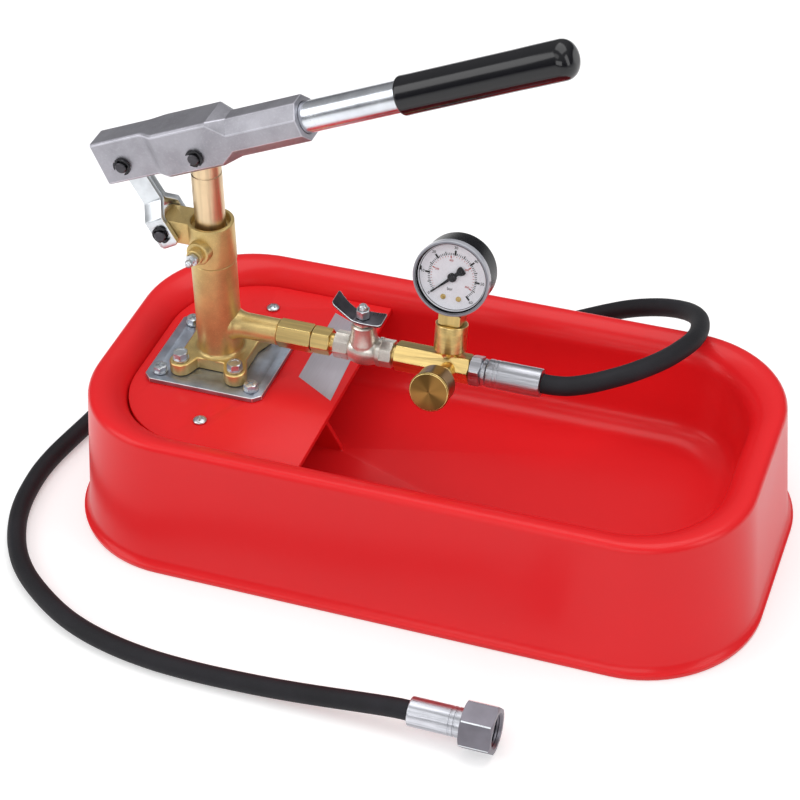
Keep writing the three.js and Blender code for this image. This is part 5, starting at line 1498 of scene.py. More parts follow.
# Delivery line: check valve, adapter and ball valve

CHECK_END = -0.067
ADAPTER_END = -0.0566
VALVE_START = -0.054
VALVE_END = -0.0221
NECK_TOP = 0.0166
GLAND_HEIGHT = 0.002
HANDLE_LOW = NECK_TOP + GLAND_HEIGHT + 2 * SEAT_GAP
HANDLE_PLATE = 0.0015
HANDLE_NUT = HANDLE_LOW + HANDLE_PLATE + SEAT_GAP
STEM_TOP = 0.0282
STEM_RADIUS = 0.0024
SPIGOT_HOLE = SPIGOT_RADIUS + SEAT_GAP
CHECK_FLATS = 0.0136
CHECK_CHAMFER = 0.0007
CHECK_SEAT = 0.0024
CHECK_SEAT_BORE = 0.002
CHECK_ROOM = 0.0042
ADAPTER_FLATS = 0.0129
ADAPTER_CHAMFER = 0.0009
VALVE_WAIST = 0.0066
VALVE_BULGE = 0.0086
BULGE_HALF = 0.0078
BULGE_STEPS = 16
WAIST_REST = 0.0006
CASTING_REST = 0.0007
NECK_FOOT = 0.0078
NECK_BENDS = ((0.0078, 0.0052), (0.0068, 0.0092), (0.0064, 0.0135))
VALVE_FLATS = 0.014
SMALL_HEX_CHAMFER = 0.0006
GLAND_FLATS = 0.0095
HANDLE_NUT_FLATS = 0.0066
HANDLE_NUT_HEIGHT = 0.0046
LEFT_OCTAGON = 0.008
RIGHT_OCTAGON = 0.0068
END_COLLAR = 0.0078
VALVE_BORE = 0.003
BALL_ROOM = 0.007
BALL_RADIUS = 0.006
WING_HALF_WIDTH = 0.0115
WING_END = 0.0058
WING_CORNER = 0.002
WING_NIP = 0.0012
WING_EDGE = 0.0003
VALVE_NECK = moved(0, 0, VALVE_X) @ turned_about("Y", -90)


def check_body():
    start = OUTLET_END + SEAT_GAP
    piece = hexagon("check_hexagon", CHECK_FLATS, start, CHECK_END, CHECK_CHAMFER, worn=True)
    low = OUTLET_END - SPIGOT_LENGTH
    joined(piece, bar("spigot", SPIGOT_RADIUS, low, start + SEAT_GAP, SMALL_SIDES))
    seat = low + CHECK_SEAT
    bored(piece, CHECK_SEAT_BORE, low - OVERRUN, seat + SEAT_GAP)
    bored(piece, CHECK_ROOM, seat, CHECK_END + OVERRUN)
    bored(piece, SPIGOT_HOLE, CHECK_END - SPIGOT_LENGTH - SEAT_GAP, CHECK_END + OVERRUN)
    return put(piece, LINE)


def line_adapter():
    start, end = CHECK_END - SPIGOT_LENGTH, VALVE_START + SPIGOT_LENGTH
    low, flats = CHECK_END + SEAT_GAP, ADAPTER_FLATS
    piece = hexagon("adapter_hexagon", flats, low, ADAPTER_END, ADAPTER_CHAMFER, worn=True)
    joined(piece, bar("spigot", SPIGOT_RADIUS, start, end, SMALL_SIDES))
    bored(piece, LINE_BORE, start - OVERRUN, end + OVERRUN)
    return put(piece, LINE)


def valve_body():
    """A cast body between two octagons, with its stem's neck on top."""
    low, high = VALVE_X - BULGE_HALF, VALVE_X + BULGE_HALF
    start, end = VALVE_START + CASTING_REST, VALVE_END - CASTING_REST
    belly = []
    for step in range(BULGE_STEPS + 1):
        share = step / BULGE_STEPS
        swell = (VALVE_BULGE - VALVE_WAIST) * math.sin(math.pi * share) ** 0.7
        belly.append((VALVE_WAIST + swell, low + 2 * BULGE_HALF * share))
    profile = [
        (0, start),
        (VALVE_WAIST, start),
        (VALVE_WAIST, low - WAIST_REST),
        *belly,
        (VALVE_WAIST, high + WAIST_REST),
        (VALVE_WAIST, end),
        (0, end),
    ]
    piece = turned("valve_casting", profile)
    neck_top = [(0.0064, NECK_TOP - 0.0006), (0.0058, NECK_TOP), (0, NECK_TOP)]
    neck_profile = [(0, 0), (NECK_FOOT, 0), *curve(*NECK_BENDS, 8), *neck_top]
    neck = put(turned("neck", neck_profile), VALVE_NECK)
    eighth = turned_about("Z", 22.5)
    left_end, right_start = VALVE_START + LEFT_OCTAGON, VALVE_END - RIGHT_OCTAGON
    left = hexagon("left_octagon", VALVE_FLATS, VALVE_START, left_end, SMALL_HEX_CHAMFER, 8)
    put(left, eighth)
    right = hexagon("right_octagon", VALVE_FLATS, right_start, VALVE_END, SMALL_HEX_CHAMFER, 8)
    put(right, eighth)
    collar = bar("collar", END_COLLAR, VALVE_END - 0.0082, VALVE_END - 0.0064, FINE_SIDES)
    joined(piece, neck, left, right, collar)
    bored(piece, VALVE_WAIST, VALVE_X - BALL_ROOM, VALVE_X + BALL_ROOM)
    bored(piece, SPIGOT_HOLE, VALVE_START - OVERRUN, VALVE_START + SPIGOT_LENGTH + SEAT_GAP)
    bored(piece, SPIGOT_HOLE, VALVE_END - SPIGOT_LENGTH - SEAT_GAP, VALVE_END + OVERRUN)
    bored(piece, VALVE_BORE, VALVE_START, VALVE_END)
    cut(piece, put(drill(STEM_RADIUS + RUNNING_GAP, 0.001, NECK_TOP + OVERRUN), VALVE_NECK))
    return put(piece, LINE)


def valve_ball_stem():
    """The ball with its bore and, in one piece with it, the stem with a domed end."""
    sphere = [(0, -BALL_RADIUS), *arc(0, 0, BALL_RADIUS, -88, 60, 20), (0, 0.0052)]
    ball = turned("ball_and_stem", sphere, SMALL_SIDES)
    dome = arc(0, STEM_TOP - STEM_RADIUS * 0.7, STEM_RADIUS, 20, 60, 6)
    foot = [(0, 0.003), (STEM_RADIUS, 0.003), (STEM_RADIUS, STEM_TOP - 0.0014)]
    joined(ball, turned("stem", [*foot, *dome, (0, dome[-1][1])]))
    cut(ball, put(drill(VALVE_BORE, -BALL_RADIUS - OVERRUN, BALL_RADIUS + OVERRUN), ALONG_X))
    return put(ball, VALVE_TOP)


def valve_handle():
    """Bent sheet: a flat hub, a wing raised to the left and a short flat one to the right."""
    low, half, tip, rise, short, lift = HANDLE_LOW, 0.0038, 0.0112, 0.0102, 0.0078, 0.0008
    wing = curve((-half - tip, low + rise), (-half - tip * 0.42, low + rise * 0.2), (-half, low), 14)
    tail = curve((half, low), (half + short * 0.6, low), (half + short, low + lift), 8)
    side = [*wing, *tail]
    upper = [(x, z + HANDLE_PLATE) for x, z in reversed(side)]
    piece = slab("wing", [*side, *upper], WING_HALF_WIDTH)
    end, corner, nip = WING_END, WING_CORNER, WING_NIP
    right, left = half + short - corner, -half - tip + nip
    waist = -half - tip * 0.35
    plan = [
        *arc(right, -end + corner, corner, -90, 0, 6),
        *arc(right, end - corner, corner, 0, 90, 6),
        *curve((0, end), (waist, end * 0.7), (left, end), 10),
        *arc(left, end - nip, nip, 90, 180, 4)[1:],
        *arc(left, nip - end, nip, 180, 270, 4),
        *curve((left, -end), (waist, -end * 0.7), (0, -end), 10)[1:],
    ]
    shared(piece, prism("blank", plan, low - OVERRUN, low + rise + HANDLE_PLATE + OVERRUN))
    bored(piece, STEM_RADIUS + SEAT_GAP, low - OVERRUN, low + HANDLE_PLATE + OVERRUN)
    return put(softened(piece, WING_EDGE, 3, 40, worn=True), VALVE_TOP)


def small_nut(name, flats, bottom, height):
    piece = hexagon(name, flats, bottom, bottom + height, SMALL_HEX_CHAMFER)
    bored(piece, STEM_RADIUS + SEAT_GAP, bottom - OVERRUN, bottom + height + OVERRUN)
    return put(piece, VALVE_TOP @ turned_about("Z", 12))


class TESTPUMP_OT_line(bpy.types.Operator):
    """Model the check valve, the adapter and the ball valve with its handle"""

    bl_idname = "test_pump.line"
    bl_label = "Delivery line and valve"

    def execute(self, context):
        brass = ("line_brass", "line_brass_edge")
        finished(check_body(), "tank", "turned_brass", *brass, node="check_valve_body")
        finished(line_adapter(), "tank", "turned_brass", *brass, node="line_adapter")
        finished(valve_body(), "tank", "nickel", "nickel", node="valve_body")
        finished(valve_ball_stem(), "valve_plug", "nickel", "zinc", node="valve_ball_stem")
        gland = small_nut("gland_hexagon", GLAND_FLATS, NECK_TOP + SEAT_GAP, GLAND_HEIGHT)
        finished(gland, "tank", "nickel", "nickel", node="valve_gland_nut")
        wing = valve_handle()
        finished(wing, "valve_plug", "valve_handle", "wing", "zinc_edge", node="valve_handle")
        nut = small_nut("handle_hexagon", HANDLE_NUT_FLATS, HANDLE_NUT, HANDLE_NUT_HEIGHT)
        finished(nut, "valve_plug", "nickel", "zinc", node="valve_handle_nut")
        return {"FINISHED"}


# Manifold block and vent knob

BLOCK_START = -0.0206
BLOCK_END = 0.0202
GAUGE_X = 0.0078
SOCKET_TOP = 0.0238
SOCKET_RADIUS = 0.0085
KNOB_X = 0.0093
SOCKET_FOOT = 0.0094
COLLAR_RADIUS = 0.0044
COLLAR_REACH = 0.0135
KNOB_REACH = 0.038
KNOB_THICKNESS = 0.003
KNOB_EDGE = 0.0002
HUB_END = 0.0242
HUB_RADIUS = 0.0058
BLOCK_FLATS = 0.014
BLOCK_CHAMFER = 0.0014
BLOCK_ROUNDING = 0.0004
BLOCK_EDGE = 0.0006
SOCKET_NECK = 0.0052
SOCKET_DEPTH = 0.009
SPINDLE_START = 0.006
SPINDLE_RADIUS = 0.003
KNOB = MANIFOLD @ moved(KNOB_X) @ TO_READER
GAUGE_STEM = MANIFOLD @ moved(GAUGE_X)


def manifold_block():
    """A hexagon bar with the gauge's socket, the knob's collar and the spigot into the valve."""
    shape = (BLOCK_FLATS, BLOCK_START, BLOCK_END, BLOCK_CHAMFER)
    piece = put(hexagon("manifold", *shape, rounding=BLOCK_ROUNDING, worn=True), ALONG_X)
    neck, foot = SOCKET_FOOT - 0.0022, SOCKET_FOOT - 0.0004
    flare = curve((SOCKET_NECK, neck), (0.0058, foot), (SOCKET_RADIUS, SOCKET_FOOT), 8)
    socket_edge = round_edge(SOCKET_RADIUS, SOCKET_TOP, BLOCK_EDGE)
    socket = turned("socket", [(0, 0), (SOCKET_NECK, 0), *flare, *socket_edge, (0, SOCKET_TOP)])
    collar_edge = round_edge(COLLAR_RADIUS, COLLAR_REACH, BLOCK_EDGE)
    collar = turned("collar", [(0, 0), (COLLAR_RADIUS, 0), *collar_edge, (0, COLLAR_REACH)])
    reach = SPIGOT_LENGTH + 2 * SEAT_GAP
    start = VALVE_END - SPIGOT_LENGTH
    spigot = drill(SPIGOT_RADIUS, start, BLOCK_START + reach)
    up, out = moved(GAUGE_X), moved(KNOB_X) @ TO_READER
    joined(piece, put(socket, up), put(collar, out), put(spigot, ALONG_X))
    tools = [
        put(drill(SPIGOT_HOLE, BLOCK_END - reach, BLOCK_END + OVERRUN), ALONG_X),
        put(drill(LINE_BORE, start - OVERRUN, BLOCK_END), ALONG_X),
        put(drill(SPIGOT_HOLE, SOCKET_TOP - SOCKET_DEPTH, SOCKET_TOP + OVERRUN), up),
        put(drill(LINE_BORE, 0.001, SOCKET_TOP), up),
        put(drill(SPINDLE_RADIUS + RUNNING_GAP, 0.0005, COLLAR_REACH + OVERRUN), out),
    ]
    return put(cut(piece, *tools), MANIFOLD)


def vent_knob(works):
    """A thick faced disc, a slim neck behind it and its spindle."""
    start = COLLAR_REACH + SEAT_GAP
    disc = KNOB_REACH - KNOB_THICKNESS
    dimple = KNOB_REACH - 0.0003
    radius, body = works.knob_radius, works.knob_radius - 0.0005
    profile = [
        (0, SPINDLE_START),
        (SPINDLE_RADIUS, SPINDLE_START),
        (SPINDLE_RADIUS, start),
        (COLLAR_RADIUS, start),
        (COLLAR_RADIUS, HUB_END - 0.003),
        (HUB_RADIUS, HUB_END - 0.002),
        (HUB_RADIUS, HUB_END),
        (body - 0.0007, HUB_END),
        (body, HUB_END + 0.0007),
        (body, disc),
        (radius, disc + 0.0005),
        (radius, KNOB_REACH - BLOCK_EDGE),
        (radius - BLOCK_EDGE, KNOB_REACH),
        (0.0007, KNOB_REACH),
        (0.0003, dimple),
        (0, dimple),
    ]
    return put(softened(turned("knob", profile, ROUND_SIDES), KNOB_EDGE, 2, 40, worn=True), KNOB)


class TESTPUMP_OT_manifold(bpy.types.Operator):
    """Model the manifold block and the vent knob"""

    bl_idname = "test_pump.manifold"
    bl_label = "Manifold and vent knob"

    def execute(self, context):
        works = context.scene.test_pump_works
        brass = ("line_brass", "line_brass_edge")
        finished(manifold_block(), "tank", "turned_brass", *brass, node="manifold_block")
        knob = vent_knob(works)
        finished(knob, "vent", "knob_brass", "knob_brass", "knob_edge", node="vent_knob")
        return {"FINISHED"}


# Gauge

GAUGE_CENTRE = 0.051
GAUGE_FRONT = 0.0095
GAUGE_BACK = -0.009
CASE_WALL = 0.0012
BEZEL_WIDTH = 0.0018
LIP_BACK = GAUGE_FRONT - 0.0008
LENS_BACK = LIP_BACK - SEAT_GAP - 0.0008
DIAL_FRONT = GAUGE_FRONT - 0.0034
DIAL_BACK = DIAL_FRONT - 0.0008
NEEDLE_BACK = DIAL_FRONT + 0.0004
NEEDLE_FRONT = NEEDLE_BACK + 0.0005
PRINT_THICKNESS = 0.00012
ZERO_DEGREES = 222
SPAN_DEGREES = 270
SCALE_STEPS = 60
SCALE_NUMBERS = 6
GAUGE_UPRIGHT = MANIFOLD @ moved(GAUGE_X, 0, GAUGE_CENTRE)
GAUGE = GAUGE_UPRIGHT @ TO_READER
STEM_DEPTH = 0.007
STEM_FLATS = 0.0119
STEM_CHAMFER = 0.0012
CASE_EDGE = 0.0016
BEZEL_BACK = GAUGE_FRONT - 0.0041
BEZEL_BEAD = 0.0009
GLASS_EDGE = 0.0002
DIAL_RIM = 0.0011
DIAL_HOLE = 0.0011
NEEDLE_REACH = 0.0146
HUB_HALF = 0.0024
SHAFT_RADIUS = 0.0008
DIAL_SCREW_X = 0.0041
DIAL_SCREW_Y = -0.0112
# Each row: every how many steps, the mark's outer radius, its length and its width
MARKS = ((10, 0.0146, 0.0027, 0.00095), (5, 0.0137, 0.0018, 0.00048), (1, 0.0131, 0.0012, 0.00030))
RED_MARKS = ((8, 0.0116, 0.0014, 0.0005), (1, 0.0116, 0.0007, 0.0002))
RED_STEPS = 34.8
# The radius that a row of numbers stands on, and the numbers' height
NUMBERS = (0.0160, 0.0021)
RED_NUMBERS = (0.0090, 0.0015)
UNIT = (0.0066, 0.0023)
UNIT_DEGREES = 262


def gauge_stem(works):
    neck_top = -works.bezel_radius - SEAT_GAP
    neck_bottom = SOCKET_TOP + SEAT_GAP - GAUGE_CENTRE
    piece = hexagon("gauge_neck", STEM_FLATS, neck_bottom, neck_top, STEM_CHAMFER, 4)
    thread_bottom = SOCKET_TOP - STEM_DEPTH - GAUGE_CENTRE
    top = -works.gauge_radius + CASE_WALL
    joined(piece, bar("stem", SPIGOT_RADIUS, thread_bottom, top, SMALL_SIDES))
    bored(piece, LINE_BORE / 2, thread_bottom - OVERRUN, top + OVERRUN)
    return put(piece, GAUGE_UPRIGHT)


def gauge_case(works):
    outer = works.gauge_radius
    inner = outer - CASE_WALL
    front = LENS_BACK - SEAT_GAP
    edge = CASE_EDGE
    profile = [
        (0, GAUGE_BACK),
        *arc(outer - edge, GAUGE_BACK + edge, edge, -90, 0, 8),
        (outer, front),
        (inner, front),
        (inner, GAUGE_BACK + edge),
        (inner - edge, GAUGE_BACK + CASE_WALL),
        (0, GAUGE_BACK + CASE_WALL),
    ]
    piece = turned("case", profile, ROUND_SIDES)
    hole = drill(SPIGOT_HOLE, outer / 2, outer + OVERRUN)
    return put(cut(piece, put(hole, TO_READER)), GAUGE)


def gauge_bezel(works):
    """The window's rim: a round outer bead, a step and a thin inner lip."""
    outer, inner = works.bezel_radius, works.gauge_radius + SEAT_GAP
    lip = outer - BEZEL_WIDTH
    profile = [
        (inner, BEZEL_BACK),
        (outer - 0.0002, BEZEL_BACK),
        (outer, BEZEL_BACK + 0.0003),
        *arc(outer - BEZEL_BEAD, GAUGE_FRONT - BEZEL_BEAD, BEZEL_BEAD, 0, 120, 8),
        (lip + 0.0006, GAUGE_FRONT - 0.0003),
        (lip + 0.0003, GAUGE_FRONT - 0.0001),
        (lip, GAUGE_FRONT - 0.0003),
        (lip, LIP_BACK),
        (inner, LIP_BACK),
        (inner, BEZEL_BACK),
    ]
    return put(turned("rim", profile, ROUND_SIDES), GAUGE)


def gauge_dial(works):
    """A flat dial with a low rim turned up round it."""
    radius = works.gauge_radius - CASE_WALL - SEAT_GAP
    rim, edge = DIAL_FRONT + DIAL_RIM, radius - 0.0003
    face = [(edge, rim), (edge, DIAL_FRONT), (0, DIAL_FRONT)]
    piece = turned("dial", [(0, DIAL_BACK), (radius, DIAL_BACK), (radius, rim), *face], ROUND_SIDES)
    return put(bored(piece, DIAL_HOLE, DIAL_BACK - OVERRUN, DIAL_FRONT + OVERRUN), GAUGE)


def gauge_needle():
    """A tapered pointer with a bossed hub and a fanned tail behind it."""
    back, front = NEEDLE_BACK, NEEDLE_FRONT
    taper = [(0, -0.0009), (NEEDLE_REACH, -0.00014), (NEEDLE_REACH, 0.00014), (0, 0.0009)]
    pointer = prism("needle", taper, back, front)
    fan = [(-0.0036, 0.0010), (-0.0048, 0.0019), (-0.0064, 0.0024)]
    other = [(x, -y) for x, y in reversed(fan)]
    tail = [(0, -0.0010), (0, 0.0010), *fan, *arc(0, 0, 0.0078, 164, 196, 8), *other]
    crown = front + 0.0003
    hub_profile = [(0, back), (HUB_HALF, back), (HUB_HALF, front), (HUB_HALF - 0.0004, crown), (0, crown)]
    shaft = bar("shaft", SHAFT_RADIUS, DIAL_BACK - 0.002, front, SMALL_SIDES)
    piece = joined(pointer, prism("tail", tail, back, front), turned("hub", hub_profile), shaft)
    return put(piece, GAUGE @ turned_about("Z", ZERO_DEGREES))


def scale_mark(marks, step, degrees):
    """A printed bar that ends at a radius, turned to its place on the scale."""
    reach, length_in, width = next(mark[1:] for mark in marks if step % mark[0] == 0)
    low, high = DIAL_FRONT, DIAL_FRONT + PRINT_THICKNESS
    piece = box("mark", (reach - length_in, -width / 2, low), (reach, width / 2, high))
    return put(piece, turned_about("Z", degrees))


def scale_number(text, radius, height, degrees):
    """A plain printed number, upright, centred at its place on the scale."""
    bpy.ops.object.select_all(action="DESELECT")
    bpy.ops.object.text_add()
    words = bpy.context.active_object
    words.data.body = text
    words.data.align_x = "CENTER"
    words.data.align_y = "CENTER"
    words.data.size = height
    words.data.extrude = PRINT_THICKNESS / 2
    words.data.resolution_u = 3
    bpy.ops.object.convert(target="MESH")
    piece = named("number")
    angle = math.radians(degrees)
    spot = moved(radius * math.cos(angle), radius * math.sin(angle), DIAL_FRONT + PRINT_THICKNESS / 2)
    return put(piece, spot)


def as_one(pieces, name):
    pick(*pieces)
    bpy.ops.object.join()
    return named(name)


def black_scale():
    """The outer scale, the unit, a thin black ring round the dial that paints the shade at the foot of its
    rim, and the pointer's stop.
    """
    prints = []
    for step in range(SCALE_STEPS + 1):
        prints.append(scale_mark(MARKS, step, ZERO_DEGREES - SPAN_DEGREES * step / SCALE_STEPS))
    for number in range(SCALE_NUMBERS + 1):
        degrees = ZERO_DEGREES - SPAN_DEGREES * number / SCALE_NUMBERS
        prints.append(scale_number(str(number * 10), *NUMBERS, degrees))
    prints.append(scale_number("bar", *UNIT, UNIT_DEGREES))
    low, high = DIAL_FRONT, DIAL_FRONT + PRINT_THICKNESS
    # Painted shade: a thin black ring where the dial meets its rim.
    ring = [(0.0175, low), (0.0178, low), (0.0178, high), (0.0175, high), (0.0175, low)]
    prints.append(turned("ring", ring, ROUND_SIDES))
    stop = box("stop", (-0.0174, 0.0012, DIAL_FRONT), (-0.0166, 0.0032, DIAL_FRONT + 0.0006))
    return put(as_one([*prints, stop], "black_print"), GAUGE)


def red_scale():
    """The inner scale in other units: 8 small steps to a number."""
    prints = []
    for step in range(4 * 8 + 1):
        prints.append(scale_mark(RED_MARKS, step, ZERO_DEGREES - SPAN_DEGREES * step / RED_STEPS))
    for number in range(1, 5):
        degrees = ZERO_DEGREES - SPAN_DEGREES * number * 8 / RED_STEPS
        prints.append(scale_number(str(number * 200), *RED_NUMBERS, degrees))
    return put(as_one(prints, "red_print"), GAUGE)


def dial_screw(x):
    head = [(0, 0), (0.0014, 0), *arc(0.0010, 0.0003, 0.0004, 0, 90, 4), (0.0007, 0.0006), (0, 0.0006)]
    piece = turned("dial_screw", head, SMALL_SIDES)
    cut(piece, box("slot", (-0.002, -0.0002, 0.0003), (0.002, 0.0002, 0.002)))
    return put(piece, GAUGE @ moved(x, DIAL_SCREW_Y, DIAL_FRONT) @ turned_about("Z", 35 + x * 9000))


class TESTPUMP_OT_gauge(bpy.types.Operator):
    """Model the gauge with its stem, case, rim, dial, printed scales, needle and window"""

    bl_idname = "test_pump.gauge"
    bl_label = "Gauge"

    def execute(self, context):
        works = context.scene.test_pump_works
        finished(gauge_stem(works), "tank", "turned_brass", "gauge_brass", node="gauge_stem")
        finished(gauge_case(works), "tank", "black_plastic", "black", node="gauge_case")
        finished(gauge_bezel(works), "tank", "gauge_bezel", "bezel", node="gauge_bezel")
        finished(gauge_dial(works), "tank", "gauge_dial", "dial", node="gauge_dial")
        finished(black_scale(), "tank", "gauge_needle", "ink")
        finished(red_scale(), "tank", "gauge_dial", "red_ink")
        finished(gauge_needle(), "needle", "gauge_needle", "black_steel", node="gauge_needle")
        for side, x in (("left", -DIAL_SCREW_X), ("right", DIAL_SCREW_X)):
            screw = dial_screw(x)
            screw.name = f"{side}_dial_screw"
            finished(screw, "tank", "turned_brass", "gauge_brass")
        radius = works.bezel_radius - BEZEL_WIDTH + 2 * SEAT_GAP
        window = bar("window", radius, LENS_BACK, LIP_BACK - SEAT_GAP, ROUND_SIDES)
        put(softened(window, GLASS_EDGE), GAUGE)
        finished(window, "tank", "gauge_lens", "window", node="gauge_lens")
        return {"FINISHED"}


# Hose and the fittings on it

FERRULE_START = 0.0294
FERRULE_END = 0.0581
CRIMP = 0.0002
TUBE_RADIUS = 0.0034
TUBE_DEPTH = 0.024
FITTING_FLATS = 0.015
FITTING_HEX_LENGTH = 0.0058
FITTING_CHAMFER = 0.0011
FITTING_ROUNDING = 0.0003
FITTING_NECK = 0.0058
FITTING_RING = 0.0070
FITTING_COLLAR = 0.0064
CRIMP_PLACES = (0.0030, 0.0054)
CRIMP_WIDTH = 0.0008
MOUTH_EDGE = 0.0006
FERRULE_END_EDGE = 0.0005
SLEEVE_REST = 0.0003
NUT_SHOULDER = 0.004
NUT_CHAMFER = 0.0014
NUT_ROUNDING = 0.0004
TAIL_FLANGE = 0.0077
TAIL_FLANGE_WIDTH = 0.003
TAIL_NOSE = 0.004
TAIL_BORE = 0.003
THREAD_BORE = 0.0087
THREAD_CREST = 0.0082
THREAD_RINGS = 6
THREAD_START = 0.0015
THREAD_PITCH = 0.0017
THREAD_SLOPE = 0.0008
TAIL_START = 0.0413
TAIL_FERRULE = 0.0274
TAIL_NUT_START = TAIL_START + TAIL_FERRULE + SEAT_GAP
TAIL_NECK = 0.0058
NUT_TURN = 9
HOSE_ROUTE = (
    (0.0584, 0, 0.0974),
    (0.063, 0, 0.0974),
    (0.0715, 0.001, 0.0979),
    (0.0805, 0.0039, 0.0992),
    (0.0885, 0.0084, 0.1002),
    (0.1008, 0.0186, 0.1008),
    (0.1132, 0.0362, 0.0992),
    (0.121, 0.0573, 0.0956),
    (0.1224, 0.07, 0.0922),
    (0.1212, 0.084, 0.0879),
    (0.117, 0.098, 0.083),
    (0.1075, 0.112, 0.0756),
    (0.091, 0.1235, 0.0664),
    (0.071, 0.129, 0.057),
    (0.045, 0.131, 0.0435),
    (0.02, 0.131, 0.03),
    (-0.006, 0.1295, 0.0175),
    (-0.032, 0.128, 0.0088),
    (-0.058, 0.1275, 0.0056),
    (-0.085, 0.1275, 0.0052),
    (-0.112, 0.126, 0.0052),
    (-0.138, 0.1205, 0.0052),
    (-0.161, 0.111, 0.0052),
    (-0.1795, 0.097, 0.0052),
    (-0.192, 0.078, 0.0052),
    (-0.1985, 0.055, 0.0052),
    (-0.2035, 0.025, 0.0052),
    (-0.2078, 0.000, 0.0052),
    (-0.2112, -0.017, 0.0052),
    (-0.2138, -0.0322, 0.0052),
    (-0.2149, -0.0461, 0.0052),
    (-0.2144, -0.0593, 0.0052),
    (-0.2128, -0.072, 0.0052),
    (-0.2098, -0.084, 0.0052),
    (-0.2054, -0.0954, 0.0052),
    (-0.1998, -0.1062, 0.0052),
    (-0.1928, -0.1163, 0.0052),
    (-0.184, -0.1257, 0.0052),
    (-0.1717, -0.1356, 0.0052),
    (-0.1590, -0.1440, 0.0052),
    (-0.1478, -0.1499, 0.0052),
    (-0.1373, -0.1541, 0.0052),
    (-0.1275, -0.1571, 0.0052),
    (-0.115, -0.160, 0.0052),
    (-0.1031, -0.1619, 0.0052),
    (-0.0915, -0.1632, 0.0053),
    (-0.0694, -0.1642, 0.0056),
    (-0.0479, -0.1644, 0.0064),
    (-0.0266, -0.1643, 0.0076),
    (-0.0056, -0.1638, 0.0092),
    (0.012, -0.1632, 0.0107),
    (0.026, -0.1627, 0.0118),
    (0.035, -0.1625, 0.0124),
    (0.041, -0.1625, 0.0125),
)


def smooth_route(points, steps):
    """Points of a centripetal curve through the route, as the hose's solid follows it."""
    spots = [Vector(point) for point in points]
    spots = [2 * spots[0] - spots[1], *spots, 2 * spots[-1] - spots[-2]]
    route = []
    for p0, p1, p2, p3 in zip(spots, spots[1:], spots[2:], spots[3:]):
        t0 = 0.0
        t1 = t0 + math.sqrt((p1 - p0).length)
        t2 = t1 + math.sqrt((p2 - p1).length)
        t3 = t2 + math.sqrt((p3 - p2).length)
        for step in range(steps):
            t = t1 + (t2 - t1) * step / steps
            a1 = p0.lerp(p1, (t - t0) / (t1 - t0))
            a2 = p1.lerp(p2, (t - t1) / (t2 - t1))
            a3 = p2.lerp(p3, (t - t2) / (t3 - t2))
            b1 = a1.lerp(a2, (t - t0) / (t2 - t0))
            b2 = a2.lerp(a3, (t - t1) / (t3 - t1))
            route.append(b1.lerp(b2, (t - t1) / (t2 - t1)))
    route.append(spots[-2])
    return route


def hose_tube(hose):
    """The hose as one tube swept along its route."""
    route = smooth_route(HOSE_ROUTE, 6)
    data = bpy.data.curves.new("rubber_hose", "CURVE")
    data.dimensions = "3D"
    data.bevel_depth = hose.hose_radius
    data.bevel_resolution = 10
    data.use_fill_caps = True
    spline = data.splines.new("POLY")
    spline.points.add(len(route) - 1)
    for point, spot in zip(spline.points, route):
        point.co = (*spot, 1.0)
    spline.use_smooth = True
    piece = bpy.data.objects.new("rubber_hose", data)
    bpy.context.collection.objects.link(piece)
    return piece


def hose_fitting():
    """A hexagon with a spigot into the block, a collar and a tube into the ferrule."""
    start = BLOCK_END + SEAT_GAP
    hex_end = start + FITTING_HEX_LENGTH
    shape = (FITTING_FLATS, start, hex_end, FITTING_CHAMFER)
    piece = hexagon("fitting_hexagon", *shape, rounding=FITTING_ROUNDING, worn=True)
    put(piece, turned_about("Z", 30))
    low, end = BLOCK_END - SPIGOT_LENGTH, FERRULE_START + TUBE_DEPTH
    profile = [
        (0, low),
        (SPIGOT_RADIUS, low),
        (SPIGOT_RADIUS, start + SEAT_GAP),
        (FITTING_NECK, start + SEAT_GAP),
        (FITTING_NECK, start + 0.0062),
        (FITTING_RING, start + 0.0066),
        (FITTING_RING, start + 0.0082),
        (FITTING_COLLAR, start + 0.0086),
        (FITTING_COLLAR, FERRULE_START - SEAT_GAP),
        (TUBE_RADIUS, FERRULE_START - SEAT_GAP),
        (TUBE_RADIUS, end),
        (0, end),
    ]
    joined(piece, turned("barb", profile))
    return put(bored(piece, LINE_BORE, low - OVERRUN, end + OVERRUN), LINE)


def ferrule(hose, length_along):
    """A pressed sleeve with two crimp grooves near its mouth and a rolled end."""
    inner, outer = TUBE_RADIUS + SEAT_GAP, hose.ferrule_radius
    mouth, floor = hose.hose_radius + SLEEVE_REST, length_along - MOUTH_EDGE
    pressed = outer - CRIMP
    crimps = []
    for place in CRIMP_PLACES:
        crimps.extend([(outer, place), (pressed, place + CRIMP), (pressed, place + CRIMP_WIDTH)])
        crimps.append((outer, place + CRIMP_WIDTH + CRIMP))
    profile = [
        (inner, 0),
        (outer - 0.0009, 0),
        *arc(outer - MOUTH_EDGE, MOUTH_EDGE, MOUTH_EDGE, -60, 0, 4),
        *crimps,
        (outer, length_along - 0.0007),
        *round_edge(outer, length_along, FERRULE_END_EDGE),
        (mouth, length_along),
        (mouth, floor),
        (0, floor),
        (0, TUBE_DEPTH + SEAT_GAP),
        (inner, TUBE_DEPTH + SEAT_GAP),
        (inner, 0),
    ]
    return turned("ferrule", profile)


